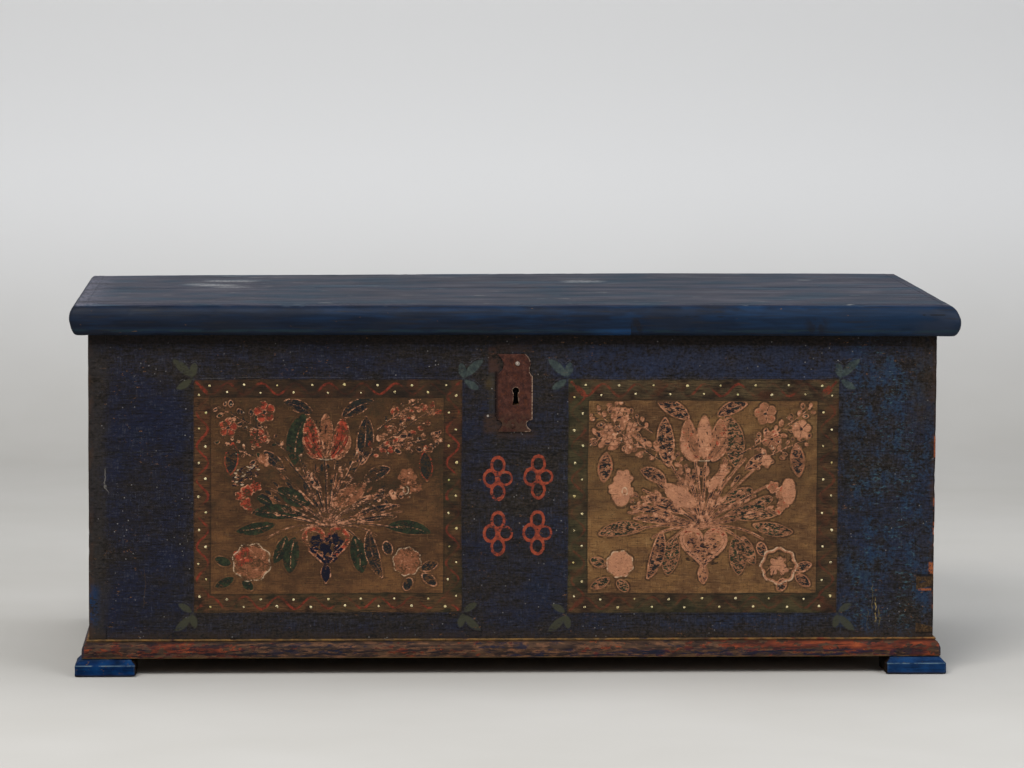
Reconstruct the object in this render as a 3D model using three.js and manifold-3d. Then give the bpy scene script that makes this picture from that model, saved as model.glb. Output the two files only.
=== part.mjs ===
// Painted pine blanket chest with a moulded lip lid, on four block feet.
// Frame: millimetres, +Z up, -Y is the front, origin on the floor under the middle of the lid.
// Walls are dovetailed planks standing on a three-board floor; the lid is two planks inside a
// mitred half-round lip and sits a little to the right on its walls; two iron strap hinges; a box
// lock with a sliding bolt and a lid hasp; a small lidded till inside the left end.
// All coordinates below put x = 0 under the middle of the walls; the whole chest is moved by
// -LID_DX at the end.
import * as THREE from "three";
import { mergeVertices } from "three/addons/utils/BufferGeometryUtils.js";
import { ConvexGeometry } from "three/addons/geometries/ConvexGeometry.js";
import Module from "manifold-3d";

const wasm = await Module();
wasm.setup();

// ---------------------------------------------------------------- driving dimensions
const GAP = 0.3; // assembly gap between touching pieces
const MITRE = 0.2; // each mitred end is this much short
const OVERCUT = 1; // how far a cutter runs past the face it opens

// Carcass
const BODY_X = 596; // half width
const BODY_Y = 269; // half depth
const WALL = 25; // wall plank thickness
const INNER_X = BODY_X - WALL;
const INNER_Y = BODY_Y - WALL;
const WALL_Z0 = 44.3; // underside of the walls
const WALL_Z1 = 497; // rim
const FRONT_JOINT = 314; // joint between the two front (and back) planks
const END_JOINT = 362; // joint between the two planks of each end

// Feet and floor
const FOOT_H = 24;
const FOOT_W = 87; // across the front
const FOOT_D = 76;
const FOOT_CHAMFER = 8; // round the top
const FEET_X0 = -616; // outer face of the left feet
const FEET_X1 = 613; // outer face of the right feet
const FEET_Y0 = -292; // front face of the front feet
const FLOOR_Z0 = FOOT_H + GAP;
const FLOOR_Z1 = FLOOR_Z0 + 19.4;
const FLOOR_JOINTS = [-92, 84];

// Lid
const LID_Z0 = WALL_Z1 + GAP; // underside of the planks
const LID_Z1 = 523;
const LID_DX = 2.5; // the lid lies this far to the right of the walls
const LID_REAR = 297; // rear edge
const LID_JOINT = 24; // joint between the two planks
const LIP_T = 25; // thickness of the lip moulding
const LIP_CLEARANCE = 3; // lip's inner face beyond the walls, before the shift by LID_DX
const LIP_IN_X = BODY_X + LIP_CLEARANCE;
const LIP_IN_Y = BODY_Y + LIP_CLEARANCE;
const LIP_Z0 = 480; // bottom of the lip

// Hinges
const IRON = 3; // thickness of the straps, the leaves and the hasp's foot
const BARREL_R = 6;
const PIN_R = 3;
const PIN_HOLE_R = PIN_R + 0.4;
const HINGE_X = 400; // distance from the middle
const HINGE_Y = BODY_Y + GAP + BARREL_R; // axis
const HINGE_Z = WALL_Z1 - BARREL_R;
const STRAP_Z1 = LID_Z0 - GAP;
const STRAP_Z0 = STRAP_Z1 - IRON;
const STRAP_REAR = 266; // rear edge of the strap beside its knuckle
const STRAP_HALF = 16; // half width of the strap at the back
const LEAF_HALF = 17; // half width of the leaf
const LEAF_Y0 = BODY_Y + GAP;
const LEAF_Y1 = LEAF_Y0 + IRON;
const KNUCKLE_HALF = 6.7; // half length of the strap's knuckle
const SLOT_HALF = KNUCKLE_HALF + 2 * GAP; // half width of the leaf's slot for it

// Lock and escutcheon
const LOCK_X = 1.5; // keyhole centre
const KEY_Z = 401;
const PLATE_Y0 = -INNER_Y + GAP; // lock plate, against the inside of the front
const PLATE_Y1 = PLATE_Y0 + 2.5;
const BOLT_Y = -230; // middle of the bolt and of the hasp's loop
const BOLT_Y0 = BOLT_Y - 3.4;
const BOLT_Y1 = BOLT_Y + 3.4;
const BOLT_Z0 = KEY_Z + 40;
const BOLT_Z1 = KEY_Z + 54;
const ESC_Y1 = -BODY_Y - GAP;
const ESC_Y0 = ESC_Y1 - 2; // front face of the escutcheon

// Till
const TILL_AXIS_X = -565.5; // till lid pivot
const TILL_AXIS_Z = 380;
const TILL_LID_R = 5; // half thickness of the till lid
const TILL_BOARD = 12; // thickness of the till's front and bottom
const TILL_FRONT_X1 = -457;
const TILL_FRONT_X0 = TILL_FRONT_X1 - TILL_BOARD;
const TILL_LID_X1 = TILL_FRONT_X1 + 2; // free edge of the till lid
const TILL_Z0 = 284; // underside
const DADO = 6; // depth of the housings that hold the till

// Dovetails: height ranges of the tails at their root. They flare by FLARE each way towards the
// board's end.
const FLARE = 6.5;
const TAILS = [
  [71, 117.5],
  [146.5, 178.5],
  [207.5, 244.5],
  [273.5, 306.5],
  [335.5, 378.5],
  [407.5, 466],
];

// Nails
const NAIL_R = 1.7;
const NAIL_HOLE_R = NAIL_R + 0.45;
const NAIL_LENGTH = 20;
const ESC_NAIL_LENGTH = 18;
const STRAP_NAIL_Y = [232, 160, 70];
const LEAF_NAIL_Z = [465, 418];
// x, y
const HASP_NAILS = [
  [LOCK_X, -206],
  [LOCK_X, -182],
];
// x, z; top then bottom
const ESC_NAILS = [
  [3.6, 439],
  [-2.5, 351],
];
// x, z
const LOCK_NAILS = [
  [LOCK_X - 65, KEY_Z + 63],
  [LOCK_X + 65, KEY_Z + 63],
  [LOCK_X - 65, KEY_Z - 31],
  [LOCK_X + 65, KEY_Z - 31],
];

// name, sign of x
const SIDES = [
  ["left", -1],
  ["right", 1],
];

// ---------------------------------------------------------------- materials
const standard = (settings) => new THREE.MeshStandardMaterial(settings);
const bluePaint = standard({ color: 0x1c2233, roughness: 0.75 });
const lidPaint = standard({ color: 0x2b3a52, roughness: 0.65 });
const footPaint = standard({ color: 0x123a6b, roughness: 0.5 });
const mouldPaint = standard({ color: 0x6b3524, roughness: 0.75 });
const rawPine = standard({ color: 0x8a6a48, roughness: 0.85 });
const agedPine = standard({ color: 0x6d5138, roughness: 0.85 });
const rustIron = standard({ color: 0x4a2c22, roughness: 0.8, metalness: 0.35 });
const darkIron = standard({ color: 0x2e2a28, roughness: 0.6, metalness: 0.7 });

// ---------------------------------------------------------------- geometry helpers
const vectors = (rows) => rows.map(([x, y]) => new THREE.Vector2(x, y));

// Shape from a table of rows: a row of two is a corner, a row of four is the control point and
// the end of a quadratic curve.
function outline([start, ...steps]) {
  const shape = new THREE.Shape();
  shape.moveTo(...start);
  for (const step of steps) {
    if (step.length === 2) shape.lineTo(...step);
    else shape.quadraticCurveTo(...step);
  }
  return shape;
}

const PLACE = {
  z: new THREE.Matrix4(), // shape in XY, extruded along Z
  y: new THREE.Matrix4().makeRotationX(Math.PI / 2), // shape in XZ, extruded towards -Y
  x: new THREE.Matrix4().makeBasis(
    new THREE.Vector3(0, 1, 0),
    new THREE.Vector3(0, 0, 1),
    new THREE.Vector3(1, 0, 0),
  ), // shape in YZ, extruded along X
};
// A shape, or an outline table, pulled along an axis between two coordinates.
function pull(section, axis, from, to, curveSegments = 8) {
  const shape = Array.isArray(section) ? outline(section) : section;
  const geometry = new THREE.ExtrudeGeometry(shape, {
    depth: to - from,
    bevelEnabled: false,
    curveSegments,
    steps: 1,
  });
  geometry.translate(0, 0, axis === "y" ? -to : from);
  return geometry.applyMatrix4(PLACE[axis]);
}

// A round rod along an axis; centre is its place in the plane across. It has twice as many
// facets as curve segments.
function rod(axis, centre, radius, from, to, curveSegments) {
  const circle = new THREE.Shape();
  circle.absarc(...centre, radius, 0, Math.PI * 2, false);
  return pull(circle, axis, from, to, curveSegments);
}

function box(x0, x1, y0, y1, z0, z1) {
  const geometry = new THREE.BoxGeometry(x1 - x0, y1 - y0, z1 - z0);
  return geometry.translate((x0 + x1) / 2, (y0 + y1) / 2, (z0 + z1) / 2);
}

function solid(geometry) {
  const bare = geometry.clone();
  for (const name of Object.keys(bare.attributes)) {
    if (name !== "position") bare.deleteAttribute(name);
  }
  const merged = mergeVertices(bare, 1e-3);
  return new wasm.Manifold(
    new wasm.Mesh({
      numProp: 3,
      vertProperties: merged.attributes.position.array,
      triVerts: new Uint32Array(merged.index.array),
    }),
  );
}

function geometryOf(body) {
  const mesh = body.getMesh();
  const geometry = new THREE.BufferGeometry();
  const positions = new Float32Array(mesh.vertProperties);
  geometry.setAttribute("position", new THREE.BufferAttribute(positions, 3));
  geometry.setIndex(new THREE.BufferAttribute(new Uint32Array(mesh.triVerts), 1));
  const flat = geometry.toNonIndexed();
  flat.computeVertexNormals();
  return flat;
}

// One solid made of several geometries.
const fuse = (base, ...parts) =>
  parts.reduce((body, part) => body.add(solid(part)), solid(base));

// The geometry left of a solid once the cutters are taken away.
const carve = (body, cutters) =>
  geometryOf(cutters.reduce((rest, cutter) => rest.subtract(solid(cutter)), body));

// ---------------------------------------------------------------- scene graph
const chest = new THREE.Group();
const carcass = new THREE.Group();
const floorFrame = new THREE.Group();
const till = new THREE.Group();
const lock = new THREE.Group();
const hinges = new THREE.Group();
const lid = new THREE.Group();
const tillLid = new THREE.Group();
lid.position.set(0, HINGE_Y, HINGE_Z);
tillLid.position.set(TILL_AXIS_X, 0, TILL_AXIS_Z);
lock.position.set(LOCK_X, -INNER_Y, KEY_Z);
carcass.add(floorFrame, till, lock, hinges);
chest.add(carcass, lid, tillLid);

// Adds a mesh whose origin is given in the chest's frame. No group that holds another is offset
// while pieces are added, so the group's own position is the whole difference.
function addMesh(group, name, geometry, material, origin) {
  const mesh = new THREE.Mesh(geometry, material);
  mesh.name = name;
  mesh.position.set(...origin).sub(group.position);
  group.add(mesh);
  return mesh;
}

// Adds a piece drawn in the chest's frame, with its origin at its own middle to the nearest mm.
function piece(group, name, geometry, material) {
  geometry.computeBoundingBox();
  const middle = geometry.boundingBox.getCenter(new THREE.Vector3()).toArray();
  const [x, y, z] = middle.map(Math.round);
  geometry.translate(-x, -y, -z);
  addMesh(group, name, geometry, material, [x, y, z]);
}

// ---------------------------------------------------------------- nails
// Rotations that turn a nail's own +Z to the way its shank points.
const TOWARD = {
  up: new THREE.Euler(0, 0, 0),
  front: new THREE.Euler(Math.PI / 2, 0, 0), // -Y
  back: new THREE.Euler(-Math.PI / 2, 0, 0), // +Y
};

// A hand-made nail: shank along +Z from 0 to length, faceted rose head below 0.
function nailGeometry(length, headR) {
  const profile = [
    [0, -2.4],
    [headR * 0.55, -2.0],
    [headR, -0.6],
    [headR, 0],
    [NAIL_R, 0],
    [NAIL_R, length * 0.6],
    [NAIL_R * 0.5, length - 1],
    [0, length],
  ];
  return new THREE.LatheGeometry(vectors(profile), 8).rotateX(Math.PI / 2);
}

function nail(
  group,
  name,
  way,
  origin,
  { length = NAIL_LENGTH, headR = 4.2, material = darkIron } = {},
) {
  const mesh = addMesh(group, name, nailGeometry(length, headR), material, origin);
  mesh.rotation.copy(TOWARD[way]);
}

// Cutter for the hole a nail needs in the wood or iron it goes through.
function nailHole(way, x, y, z, length) {
  const hole = new THREE.CylinderGeometry(NAIL_HOLE_R, NAIL_HOLE_R, length + 2, 8);
  hole.rotateX(Math.PI / 2);
  hole.translate(0, 0, length / 2 - 0.2);
  hole.applyMatrix4(new THREE.Matrix4().makeRotationFromEuler(TOWARD[way]));
  return hole.translate(x, y, z);
}

// ---------------------------------------------------------------- feet and floor
// Rings of a foot from the floor up: inset from its sides, cut across its corners, height.
const FOOT_RINGS = [
  [1.5, 2, 0],
  [0, 2.5, 2],
  [0, 2.5, FOOT_H - FOOT_CHAMFER],
  [FOOT_CHAMFER - 1, 2.5, FOOT_H - 0.6],
  [FOOT_CHAMFER + 1, 2, FOOT_H],
];

// Block foot, chamfered round the top and eased at the floor and the corners.
function foot(name, x0, y0) {
  const x1 = x0 + FOOT_W;
  const y1 = y0 + FOOT_D;
  // x, y and the inward direction along each
  const corners = [
    [x0, y0, 1, 1],
    [x1, y0, -1, 1],
    [x1, y1, -1, -1],
    [x0, y1, 1, -1],
  ];
  const points = FOOT_RINGS.flatMap(([inset, corner, z]) =>
    corners.flatMap(([x, y, inX, inY]) => [
      new THREE.Vector3(x + inX * (inset + corner), y + inY * inset, z),
      new THREE.Vector3(x + inX * inset, y + inY * (inset + corner), z),
    ]),
  );
  piece(floorFrame, name, new ConvexGeometry(points), footPaint);
}

function feetAndFloor() {
  for (const [row, y0] of [
    ["front", FEET_Y0],
    ["rear", BODY_Y - FOOT_D],
  ]) {
    foot(`foot_${row}_left`, FEET_X0, y0);
    foot(`foot_${row}_right`, FEET_X1 - FOOT_W, y0);
  }
  for (const [place, y0, y1] of [
    ["front", -BODY_Y, FLOOR_JOINTS[0]],
    ["middle", FLOOR_JOINTS[0] + GAP, FLOOR_JOINTS[1]],
    ["rear", FLOOR_JOINTS[1] + GAP, BODY_Y],
  ]) {
    const board = box(-BODY_X, BODY_X, y0, y1, FLOOR_Z0, FLOOR_Z1);
    piece(floorFrame, `bottom_board_${place}`, board, agedPine);
  }
}

// ---------------------------------------------------------------- mouldings
// Plinth section (outward from its back face, z): fascia, ovolo, quirk and thin bead.
const PLINTH_PROFILE = [
  [0, FLOOR_Z0], [9.6, FLOOR_Z0], [10, 25], [10, 34], [9.6, 37],
  [8.6, 40.2], [6.8, 43.2], [4.6, 45.4], [2.6, 46.4], [2.4, 47.2],
  [3.4, 47.8], [3.4, 49.4], [2.6, 50.2], [0, 50.2],
];
// Half-round lip of the lid, section (outward from its inner face, z).
const LIP_PROFILE = [
  [0, LIP_Z0], [14.2, LIP_Z0], [17.2, 481.2], [20, 485.2], [22.6, 491],
  [24.4, 497], [LIP_T, 503], [24.6, 508], [23.2, 513], [20.8, 517.6],
  [17.6, 520.9], [15, 522.3], [12.2, LID_Z1], [0, LID_Z1],
];

// A moulding along X or Y with its back at face and its section facing out (1 or -1).
// endsAt(outward) gives the run's two ends for a point that far out of the face.
function moulding(profile, axis, face, out, endsAt) {
  const section = profile.map(([outward, z]) => [face + out * outward, z]);
  const geometry = pull(section, axis, 0, 1);
  const points = geometry.attributes.position;
  const [run, across] = axis === "x" ? [0, 1] : [1, 0];
  for (let i = 0; i < points.count; i++) {
    const outward = (points.getComponent(i, across) - face) * out;
    const [start, end] = endsAt(outward);
    points.setComponent(i, run, points.getComponent(i, run) < 0.5 ? start : end);
  }
  return geometry;
}

// A front run mitred to two side runs that end square at the rear.
function trim(group, prefix, profile, material, { centreX, innerX, innerY, rearY }) {
  const front = moulding(profile, "x", -innerY, -1, (outward) => [
    centreX - (innerX + outward - MITRE),
    centreX + innerX + outward - MITRE,
  ]);
  piece(group, `${prefix}_front`, front, material);
  for (const [side, sign] of SIDES) {
    const run = moulding(profile, "y", centreX + sign * innerX, sign, (outward) => [
      -(innerY + outward - MITRE),
      rearY,
    ]);
    piece(group, `${prefix}_${side}`, run, material);
  }
}

// ---------------------------------------------------------------- walls
// All tails at one end of a front or back board; grow widens them to cut the sockets in the ends.
function tails(side, y0, y1, grow) {
  const behind = 4; // how far a tail carries on behind its root
  const beyond = 2; // and beyond the board's end
  const root = side * (INNER_X - behind);
  const tip = side * (BODY_X + beyond);
  const rootFlare = (-FLARE * behind) / WALL;
  const tipFlare = FLARE + (FLARE * beyond) / WALL;
  return TAILS.map(([bottom, top]) => {
    const section = [
      [root, bottom - grow - rootFlare],
      [tip, bottom - grow - tipFlare],
      [tip, top + grow + tipFlare],
      [root, top + grow + rootFlare],
    ];
    return pull(section, "y", y0, y1);
  });
}

// A front or back plank: middle part plus the pieces of tail that fall in its height range.
function dovetailedPlank(y0, y1, z0, z1) {
  const band = solid(box(-BODY_X, BODY_X, y0, y1, z0, z1));
  let plank = solid(box(-INNER_X + GAP, INNER_X - GAP, y0, y1, z0, z1));
  for (const side of [-1, 1]) {
    for (const tail of tails(side, y0, y1, 0)) {
      plank = plank.add(solid(tail).intersect(band));
    }
  }
  return plank;
}

// Keyhole cutter: a round eye over a slot that widens at its foot.
function keyhole(y0, y1, grow = 0) {
  const eyeR = 4.4 + grow;
  const slotHalf = 2.7 + grow;
  const footHalf = 4.6 + grow;
  const footZ = KEY_Z - 20 - grow;
  const bendZ = KEY_Z - 15;
  const opening = Math.asin(slotHalf / eyeR);
  const slotZ = KEY_Z - eyeR * Math.cos(opening);
  const shape = outline([
    [LOCK_X - slotHalf, slotZ],
    [LOCK_X - slotHalf, bendZ, LOCK_X - footHalf, footZ],
    [LOCK_X + footHalf, footZ],
    [LOCK_X + slotHalf, bendZ, LOCK_X + slotHalf, slotZ],
  ]);
  const start = -Math.PI / 2 + opening;
  shape.absarc(LOCK_X, KEY_Z, eyeR, start, Math.PI * 1.5 - opening, false);
  return pull(shape, "y", y0, y1, 7);
}

// Housings for the till's front and bottom, and the hole its lid turns in.
function tillHousings(y0, y1) {
  const bottom = TILL_Z0 - GAP;
  const frontX0 = TILL_FRONT_X0 - GAP;
  const frontX1 = TILL_FRONT_X1 + GAP;
  const bottomTop = TILL_Z0 + TILL_BOARD + GAP;
  return [
    box(frontX0, frontX1, y0, y1, bottom, TILL_AXIS_Z - TILL_LID_R),
    box(-INNER_X - OVERCUT, TILL_FRONT_X0, y0, y1, bottom, bottomTop),
    rod("y", [TILL_AXIS_X, TILL_AXIS_Z], 4.4, y0, y1, 16),
  ];
}

function frontWall() {
  const housings = tillHousings(-INNER_Y - DADO, -INNER_Y + OVERCUT);
  const lower = dovetailedPlank(-BODY_Y, -INNER_Y, WALL_Z0, FRONT_JOINT);
  piece(carcass, "front_board_lower", carve(lower, housings), bluePaint);

  const upper = dovetailedPlank(-BODY_Y, -INNER_Y, FRONT_JOINT + GAP, WALL_Z1);
  const cutters = [
    keyhole(-BODY_Y - OVERCUT, -INNER_Y + OVERCUT, 0.6),
    ...housings,
    ...ESC_NAILS.map(([x, z]) => nailHole("back", x, ESC_Y0, z, ESC_NAIL_LENGTH)),
    ...LOCK_NAILS.map(([x, z]) => nailHole("front", x, PLATE_Y1, z, NAIL_LENGTH)),
  ];
  piece(carcass, "front_board_upper", carve(upper, cutters), bluePaint);
}

function backWall() {
  const housings = tillHousings(INNER_Y - OVERCUT, INNER_Y + DADO);
  const lower = dovetailedPlank(INNER_Y, BODY_Y, WALL_Z0, FRONT_JOINT);
  piece(carcass, "back_board_lower", carve(lower, housings), agedPine);

  const upper = dovetailedPlank(INNER_Y, BODY_Y, FRONT_JOINT + GAP, WALL_Z1);
  const notchHalf = LEAF_HALF + 0.5;
  const notchZ0 = 493.6;
  const y0 = INNER_Y - OVERCUT;
  const y1 = BODY_Y + OVERCUT;
  const hingeXs = [-HINGE_X, HINGE_X];
  const cutters = [
    ...housings,
    // notches in the rim for the straps
    ...hingeXs.map((x) =>
      box(x - notchHalf, x + notchHalf, y0, y1, notchZ0, WALL_Z1 + OVERCUT),
    ),
    ...hingeXs.flatMap((x) =>
      LEAF_NAIL_Z.map((z) => nailHole("front", x, LEAF_Y1, z, NAIL_LENGTH)),
    ),
  ];
  piece(carcass, "back_board_upper", carve(upper, cutters), agedPine);
}

function endWalls() {
  for (const [side, sign] of SIDES) {
    const [x0, x1] = sign < 0 ? [-BODY_X, -INNER_X] : [INNER_X, BODY_X];
    const sockets = [
      ...tails(sign, -BODY_Y - OVERCUT, -INNER_Y + GAP, GAP),
      ...tails(sign, INNER_Y - GAP, BODY_Y + OVERCUT, GAP),
    ];
    for (const [part, z0, z1] of [
      ["lower", WALL_Z0, END_JOINT],
      ["upper", END_JOINT + GAP, WALL_Z1],
    ]) {
      const plank = solid(box(x0, x1, -BODY_Y, BODY_Y, z0, z1));
      piece(carcass, `${side}_end_${part}`, carve(plank, sockets), bluePaint);
    }
  }
}

// ---------------------------------------------------------------- till
function tillBox() {
  const top = TILL_AXIS_Z - TILL_LID_R - GAP;
  const halfY = INNER_Y + DADO - GAP;
  const front = box(TILL_FRONT_X0, TILL_FRONT_X1, -halfY, halfY, TILL_Z0, top);
  piece(till, "till_front", front, rawPine);
  const x0 = -INNER_X + GAP;
  const x1 = TILL_FRONT_X0 - GAP;
  const bottom = box(x0, x1, -halfY, halfY, TILL_Z0, TILL_Z0 + TILL_BOARD);
  piece(till, "till_bottom", bottom, rawPine);
}

// Pivot edge rounded about the pivot, free edge eased, a wooden pintle at each end.
function tillLidBoard() {
  const axis = [TILL_AXIS_X, TILL_AXIS_Z];
  const shape = new THREE.Shape();
  shape.absarc(...axis, TILL_LID_R, Math.PI / 2, Math.PI * 1.5, false);
  shape.lineTo(TILL_LID_X1 - 2, TILL_AXIS_Z - TILL_LID_R);
  shape.lineTo(TILL_LID_X1, TILL_AXIS_Z - TILL_LID_R + 2);
  shape.lineTo(TILL_LID_X1, TILL_AXIS_Z + TILL_LID_R - 3);
  shape.lineTo(TILL_LID_X1 - 3, TILL_AXIS_Z + TILL_LID_R);
  const halfY = INNER_Y - 2 * GAP;
  const pintleR = 3.9;
  const pintleIn = INNER_Y - 4;
  const pintleOut = INNER_Y + 5.2;
  const board = fuse(
    pull(shape, "y", -halfY, halfY, 10),
    rod("y", axis, pintleR, -pintleOut, -pintleIn, 16),
    rod("y", axis, pintleR, pintleIn, pintleOut, 16),
  );
  piece(tillLid, "till_lid", geometryOf(board), rawPine);
}

// ---------------------------------------------------------------- lid
function lidBoard(name, y0, y1) {
  const x0 = LID_DX - LIP_IN_X + GAP;
  const x1 = LID_DX + LIP_IN_X - GAP;
  const nails = [
    ...[-HINGE_X, HINGE_X].flatMap((x) => STRAP_NAIL_Y.map((y) => [x, y])),
    ...HASP_NAILS,
  ];
  const holes = nails
    .filter(([, y]) => y > y0 && y < y1)
    .map(([x, y]) => nailHole("up", x, y, STRAP_Z0, NAIL_LENGTH + 1));
  const board = solid(box(x0, x1, y0, y1, LID_Z0, LID_Z1));
  piece(lid, name, carve(board, holes), lidPaint);
}

// ---------------------------------------------------------------- strap hinges
const knuckle = (x0, x1) => rod("x", [HINGE_Y, HINGE_Z], BARREL_R, x0, x1, 12);
const pinHole = (x0, x1) => rod("x", [HINGE_Y, HINGE_Z], PIN_HOLE_R, x0, x1, 12);

// Strap under the lid: full width at the back, tapering forward to a rounded spade end.
function hingeStrap(side, x) {
  const shape = [
    [x - STRAP_HALF, STRAP_REAR],
    [x - STRAP_HALF, 200],
    [x - 9, 60],
    [x - 8, 46, x - 15, 36],
    [x - 17, 22, x, 8],
    [x + 17, 22, x + 15, 36],
    [x + 8, 46, x + 9, 60],
    [x + STRAP_HALF, 200],
    [x + STRAP_HALF, STRAP_REAR],
    [x + KNUCKLE_HALF, STRAP_REAR],
    [x + KNUCKLE_HALF, HINGE_Y],
    [x - KNUCKLE_HALF, HINGE_Y],
    [x - KNUCKLE_HALF, STRAP_REAR],
  ];
  const strap = fuse(
    pull(shape, "z", STRAP_Z0, STRAP_Z1, 5),
    knuckle(x - KNUCKLE_HALF, x + KNUCKLE_HALF),
  );
  const holes = [
    pinHole(x - 8, x + 8),
    ...STRAP_NAIL_Y.map((y) => nailHole("up", x, y, STRAP_Z0, 12)),
  ];
  piece(lid, `hinge_strap_${side}`, carve(strap, holes), darkIron);
  STRAP_NAIL_Y.forEach((y, i) => {
    nail(lid, `strap_nail_${side}_${i + 1}`, "up", [x, y, STRAP_Z0 - GAP]);
  });
}

// Leaf on the back of the chest, with the two outer knuckles.
function hingeLeaf(side, x) {
  const shape = [
    [x - LEAF_HALF, HINGE_Z],
    [x - LEAF_HALF, 433],
    [x - 15, 403, x, 391],
    [x + 15, 403, x + LEAF_HALF, 433],
    [x + LEAF_HALF, HINGE_Z],
    [x + SLOT_HALF, HINGE_Z],
    [x + SLOT_HALF, 483],
    [x - SLOT_HALF, 483],
    [x - SLOT_HALF, HINGE_Z],
  ];
  const leaf = fuse(
    pull(shape, "y", LEAF_Y0, LEAF_Y1, 5),
    knuckle(x - LEAF_HALF, x - SLOT_HALF),
    knuckle(x + SLOT_HALF, x + LEAF_HALF),
  );
  const holes = [
    pinHole(x - 20, x + 20),
    ...LEAF_NAIL_Z.map((z) => nailHole("front", x, LEAF_Y1, z, 8)),
  ];
  piece(hinges, `hinge_leaf_${side}`, carve(leaf, holes), darkIron);
  LEAF_NAIL_Z.forEach((z, i) => {
    nail(hinges, `leaf_nail_${side}_${i + 1}`, "front", [x, LEAF_Y1 + GAP, z]);
  });
}

// Pin profile with peened ends (radius, distance along the pin).
const PIN_PROFILE = [
  [0, -19], [3.2, -18.6], [4.4, -17.9], [4.4, -17.3], [PIN_R, -17.3],
  [PIN_R, 17.3], [4.4, 17.3], [4.4, 17.9], [3.2, 18.6], [0, 19],
];
function hingePin(side, x) {
  const geometry = new THREE.LatheGeometry(vectors(PIN_PROFILE), 12);
  const origin = [x, HINGE_Y, HINGE_Z];
  const pin = addMesh(hinges, `hinge_pin_${side}`, geometry, darkIron, origin);
  pin.rotation.z = -Math.PI / 2;
}

// ---------------------------------------------------------------- lid hasp
// A nailed foot under the lid with a hanging loop that the lock's bolt passes through.
function lidHasp() {
  const footShape = [
    [LOCK_X - 12, -238],
    [LOCK_X + 12, -238],
    [LOCK_X + 9, -176],
    [LOCK_X, -166],
    [LOCK_X - 9, -176],
  ];
  // y, z
  const loop = outline([
    [BOLT_Y - 7, STRAP_Z0 + 1],
    [BOLT_Y - 7, KEY_Z + 35],
    [BOLT_Y - 4.5, KEY_Z + 32.5],
    [BOLT_Y + 4.5, KEY_Z + 32.5],
    [BOLT_Y + 7, KEY_Z + 35],
    [BOLT_Y + 7, STRAP_Z0 + 1],
  ]);
  const eye = [
    [BOLT_Y - 4, KEY_Z + 37],
    [BOLT_Y + 4, KEY_Z + 37],
    [BOLT_Y + 4, KEY_Z + 59],
    [BOLT_Y - 4, KEY_Z + 59],
  ];
  loop.holes.push(new THREE.Path(vectors(eye)));
  const hasp = fuse(
    pull(footShape, "z", STRAP_Z0, STRAP_Z1),
    pull(loop, "x", LOCK_X - 6, LOCK_X + 6),
  );
  const holes = HASP_NAILS.map(([x, y]) => nailHole("up", x, y, STRAP_Z0, 12));
  piece(lid, "lid_hasp", carve(hasp, holes), darkIron);
  HASP_NAILS.forEach(([x, y], i) => {
    nail(lid, `hasp_nail_${i + 1}`, "up", [x, y, STRAP_Z0 - GAP]);
  });
}

// ---------------------------------------------------------------- escutcheon
// Outline (x, z; rows of four are curves): a straight-sided middle with a crescent bite at each
// corner of both ends.
const ESC_OUTLINE = [
  [-26, 360],
  [-18.5, 359.5, -17.5, 354],
  [-18, 349, -23.8, 344.4],
  [-22, 342.6],
  [22, 342.6],
  [23.8, 345.2],
  [16.5, 350, 16.8, 354.5],
  [17.5, 359, 25.5, 359.6],
  [25.5, 420.8],
  [20.4, 425, 20.8, 430.5],
  [21, 434.5, 22.6, 438],
  [21.5, 446.5, 16.6, 451],
  [15, 452.6],
  [-26, 452.6],
  [-17.5, 447, -15.8, 438.5],
  [-15.6, 428, -26, 424.4],
];
function escutcheon() {
  const plate = solid(pull(ESC_OUTLINE, "y", ESC_Y0, ESC_Y1, 5));
  const holes = [
    keyhole(ESC_Y0 - OVERCUT, -BODY_Y + OVERCUT),
    ...ESC_NAILS.map(([x, z]) => nailHole("back", x, ESC_Y0, z, 6)),
  ];
  piece(carcass, "escutcheon", carve(plate, holes), rustIron);
  const style = { length: ESC_NAIL_LENGTH, headR: 3.4, material: rustIron };
  ["top", "bottom"].forEach((place, i) => {
    const [x, z] = ESC_NAILS[i];
    nail(carcass, `escutcheon_nail_${place}`, "back", [x, ESC_Y0 - GAP, z], style);
  });
}

// ---------------------------------------------------------------- box lock
// A loop standing on the lock plate that the bolt slides in.
function boltGuide(x0, x1) {
  const rootY = PLATE_Y1 - 0.5;
  const outerY = -223.4;
  const rim = 4;
  const play = 0.4;
  // y, z
  const shape = outline([
    [rootY, BOLT_Z0 - rim],
    [outerY, BOLT_Z0 - rim],
    [outerY, BOLT_Z1 + rim],
    [rootY, BOLT_Z1 + rim],
  ]);
  const opening = [
    [BOLT_Y0 - play, BOLT_Z0 - play],
    [BOLT_Y0 - play, BOLT_Z1 + play],
    [BOLT_Y1 + play, BOLT_Z1 + play],
    [BOLT_Y1 + play, BOLT_Z0 - play],
  ];
  shape.holes.push(new THREE.Path(vectors(opening)));
  return pull(shape, "x", x0, x1);
}

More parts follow.
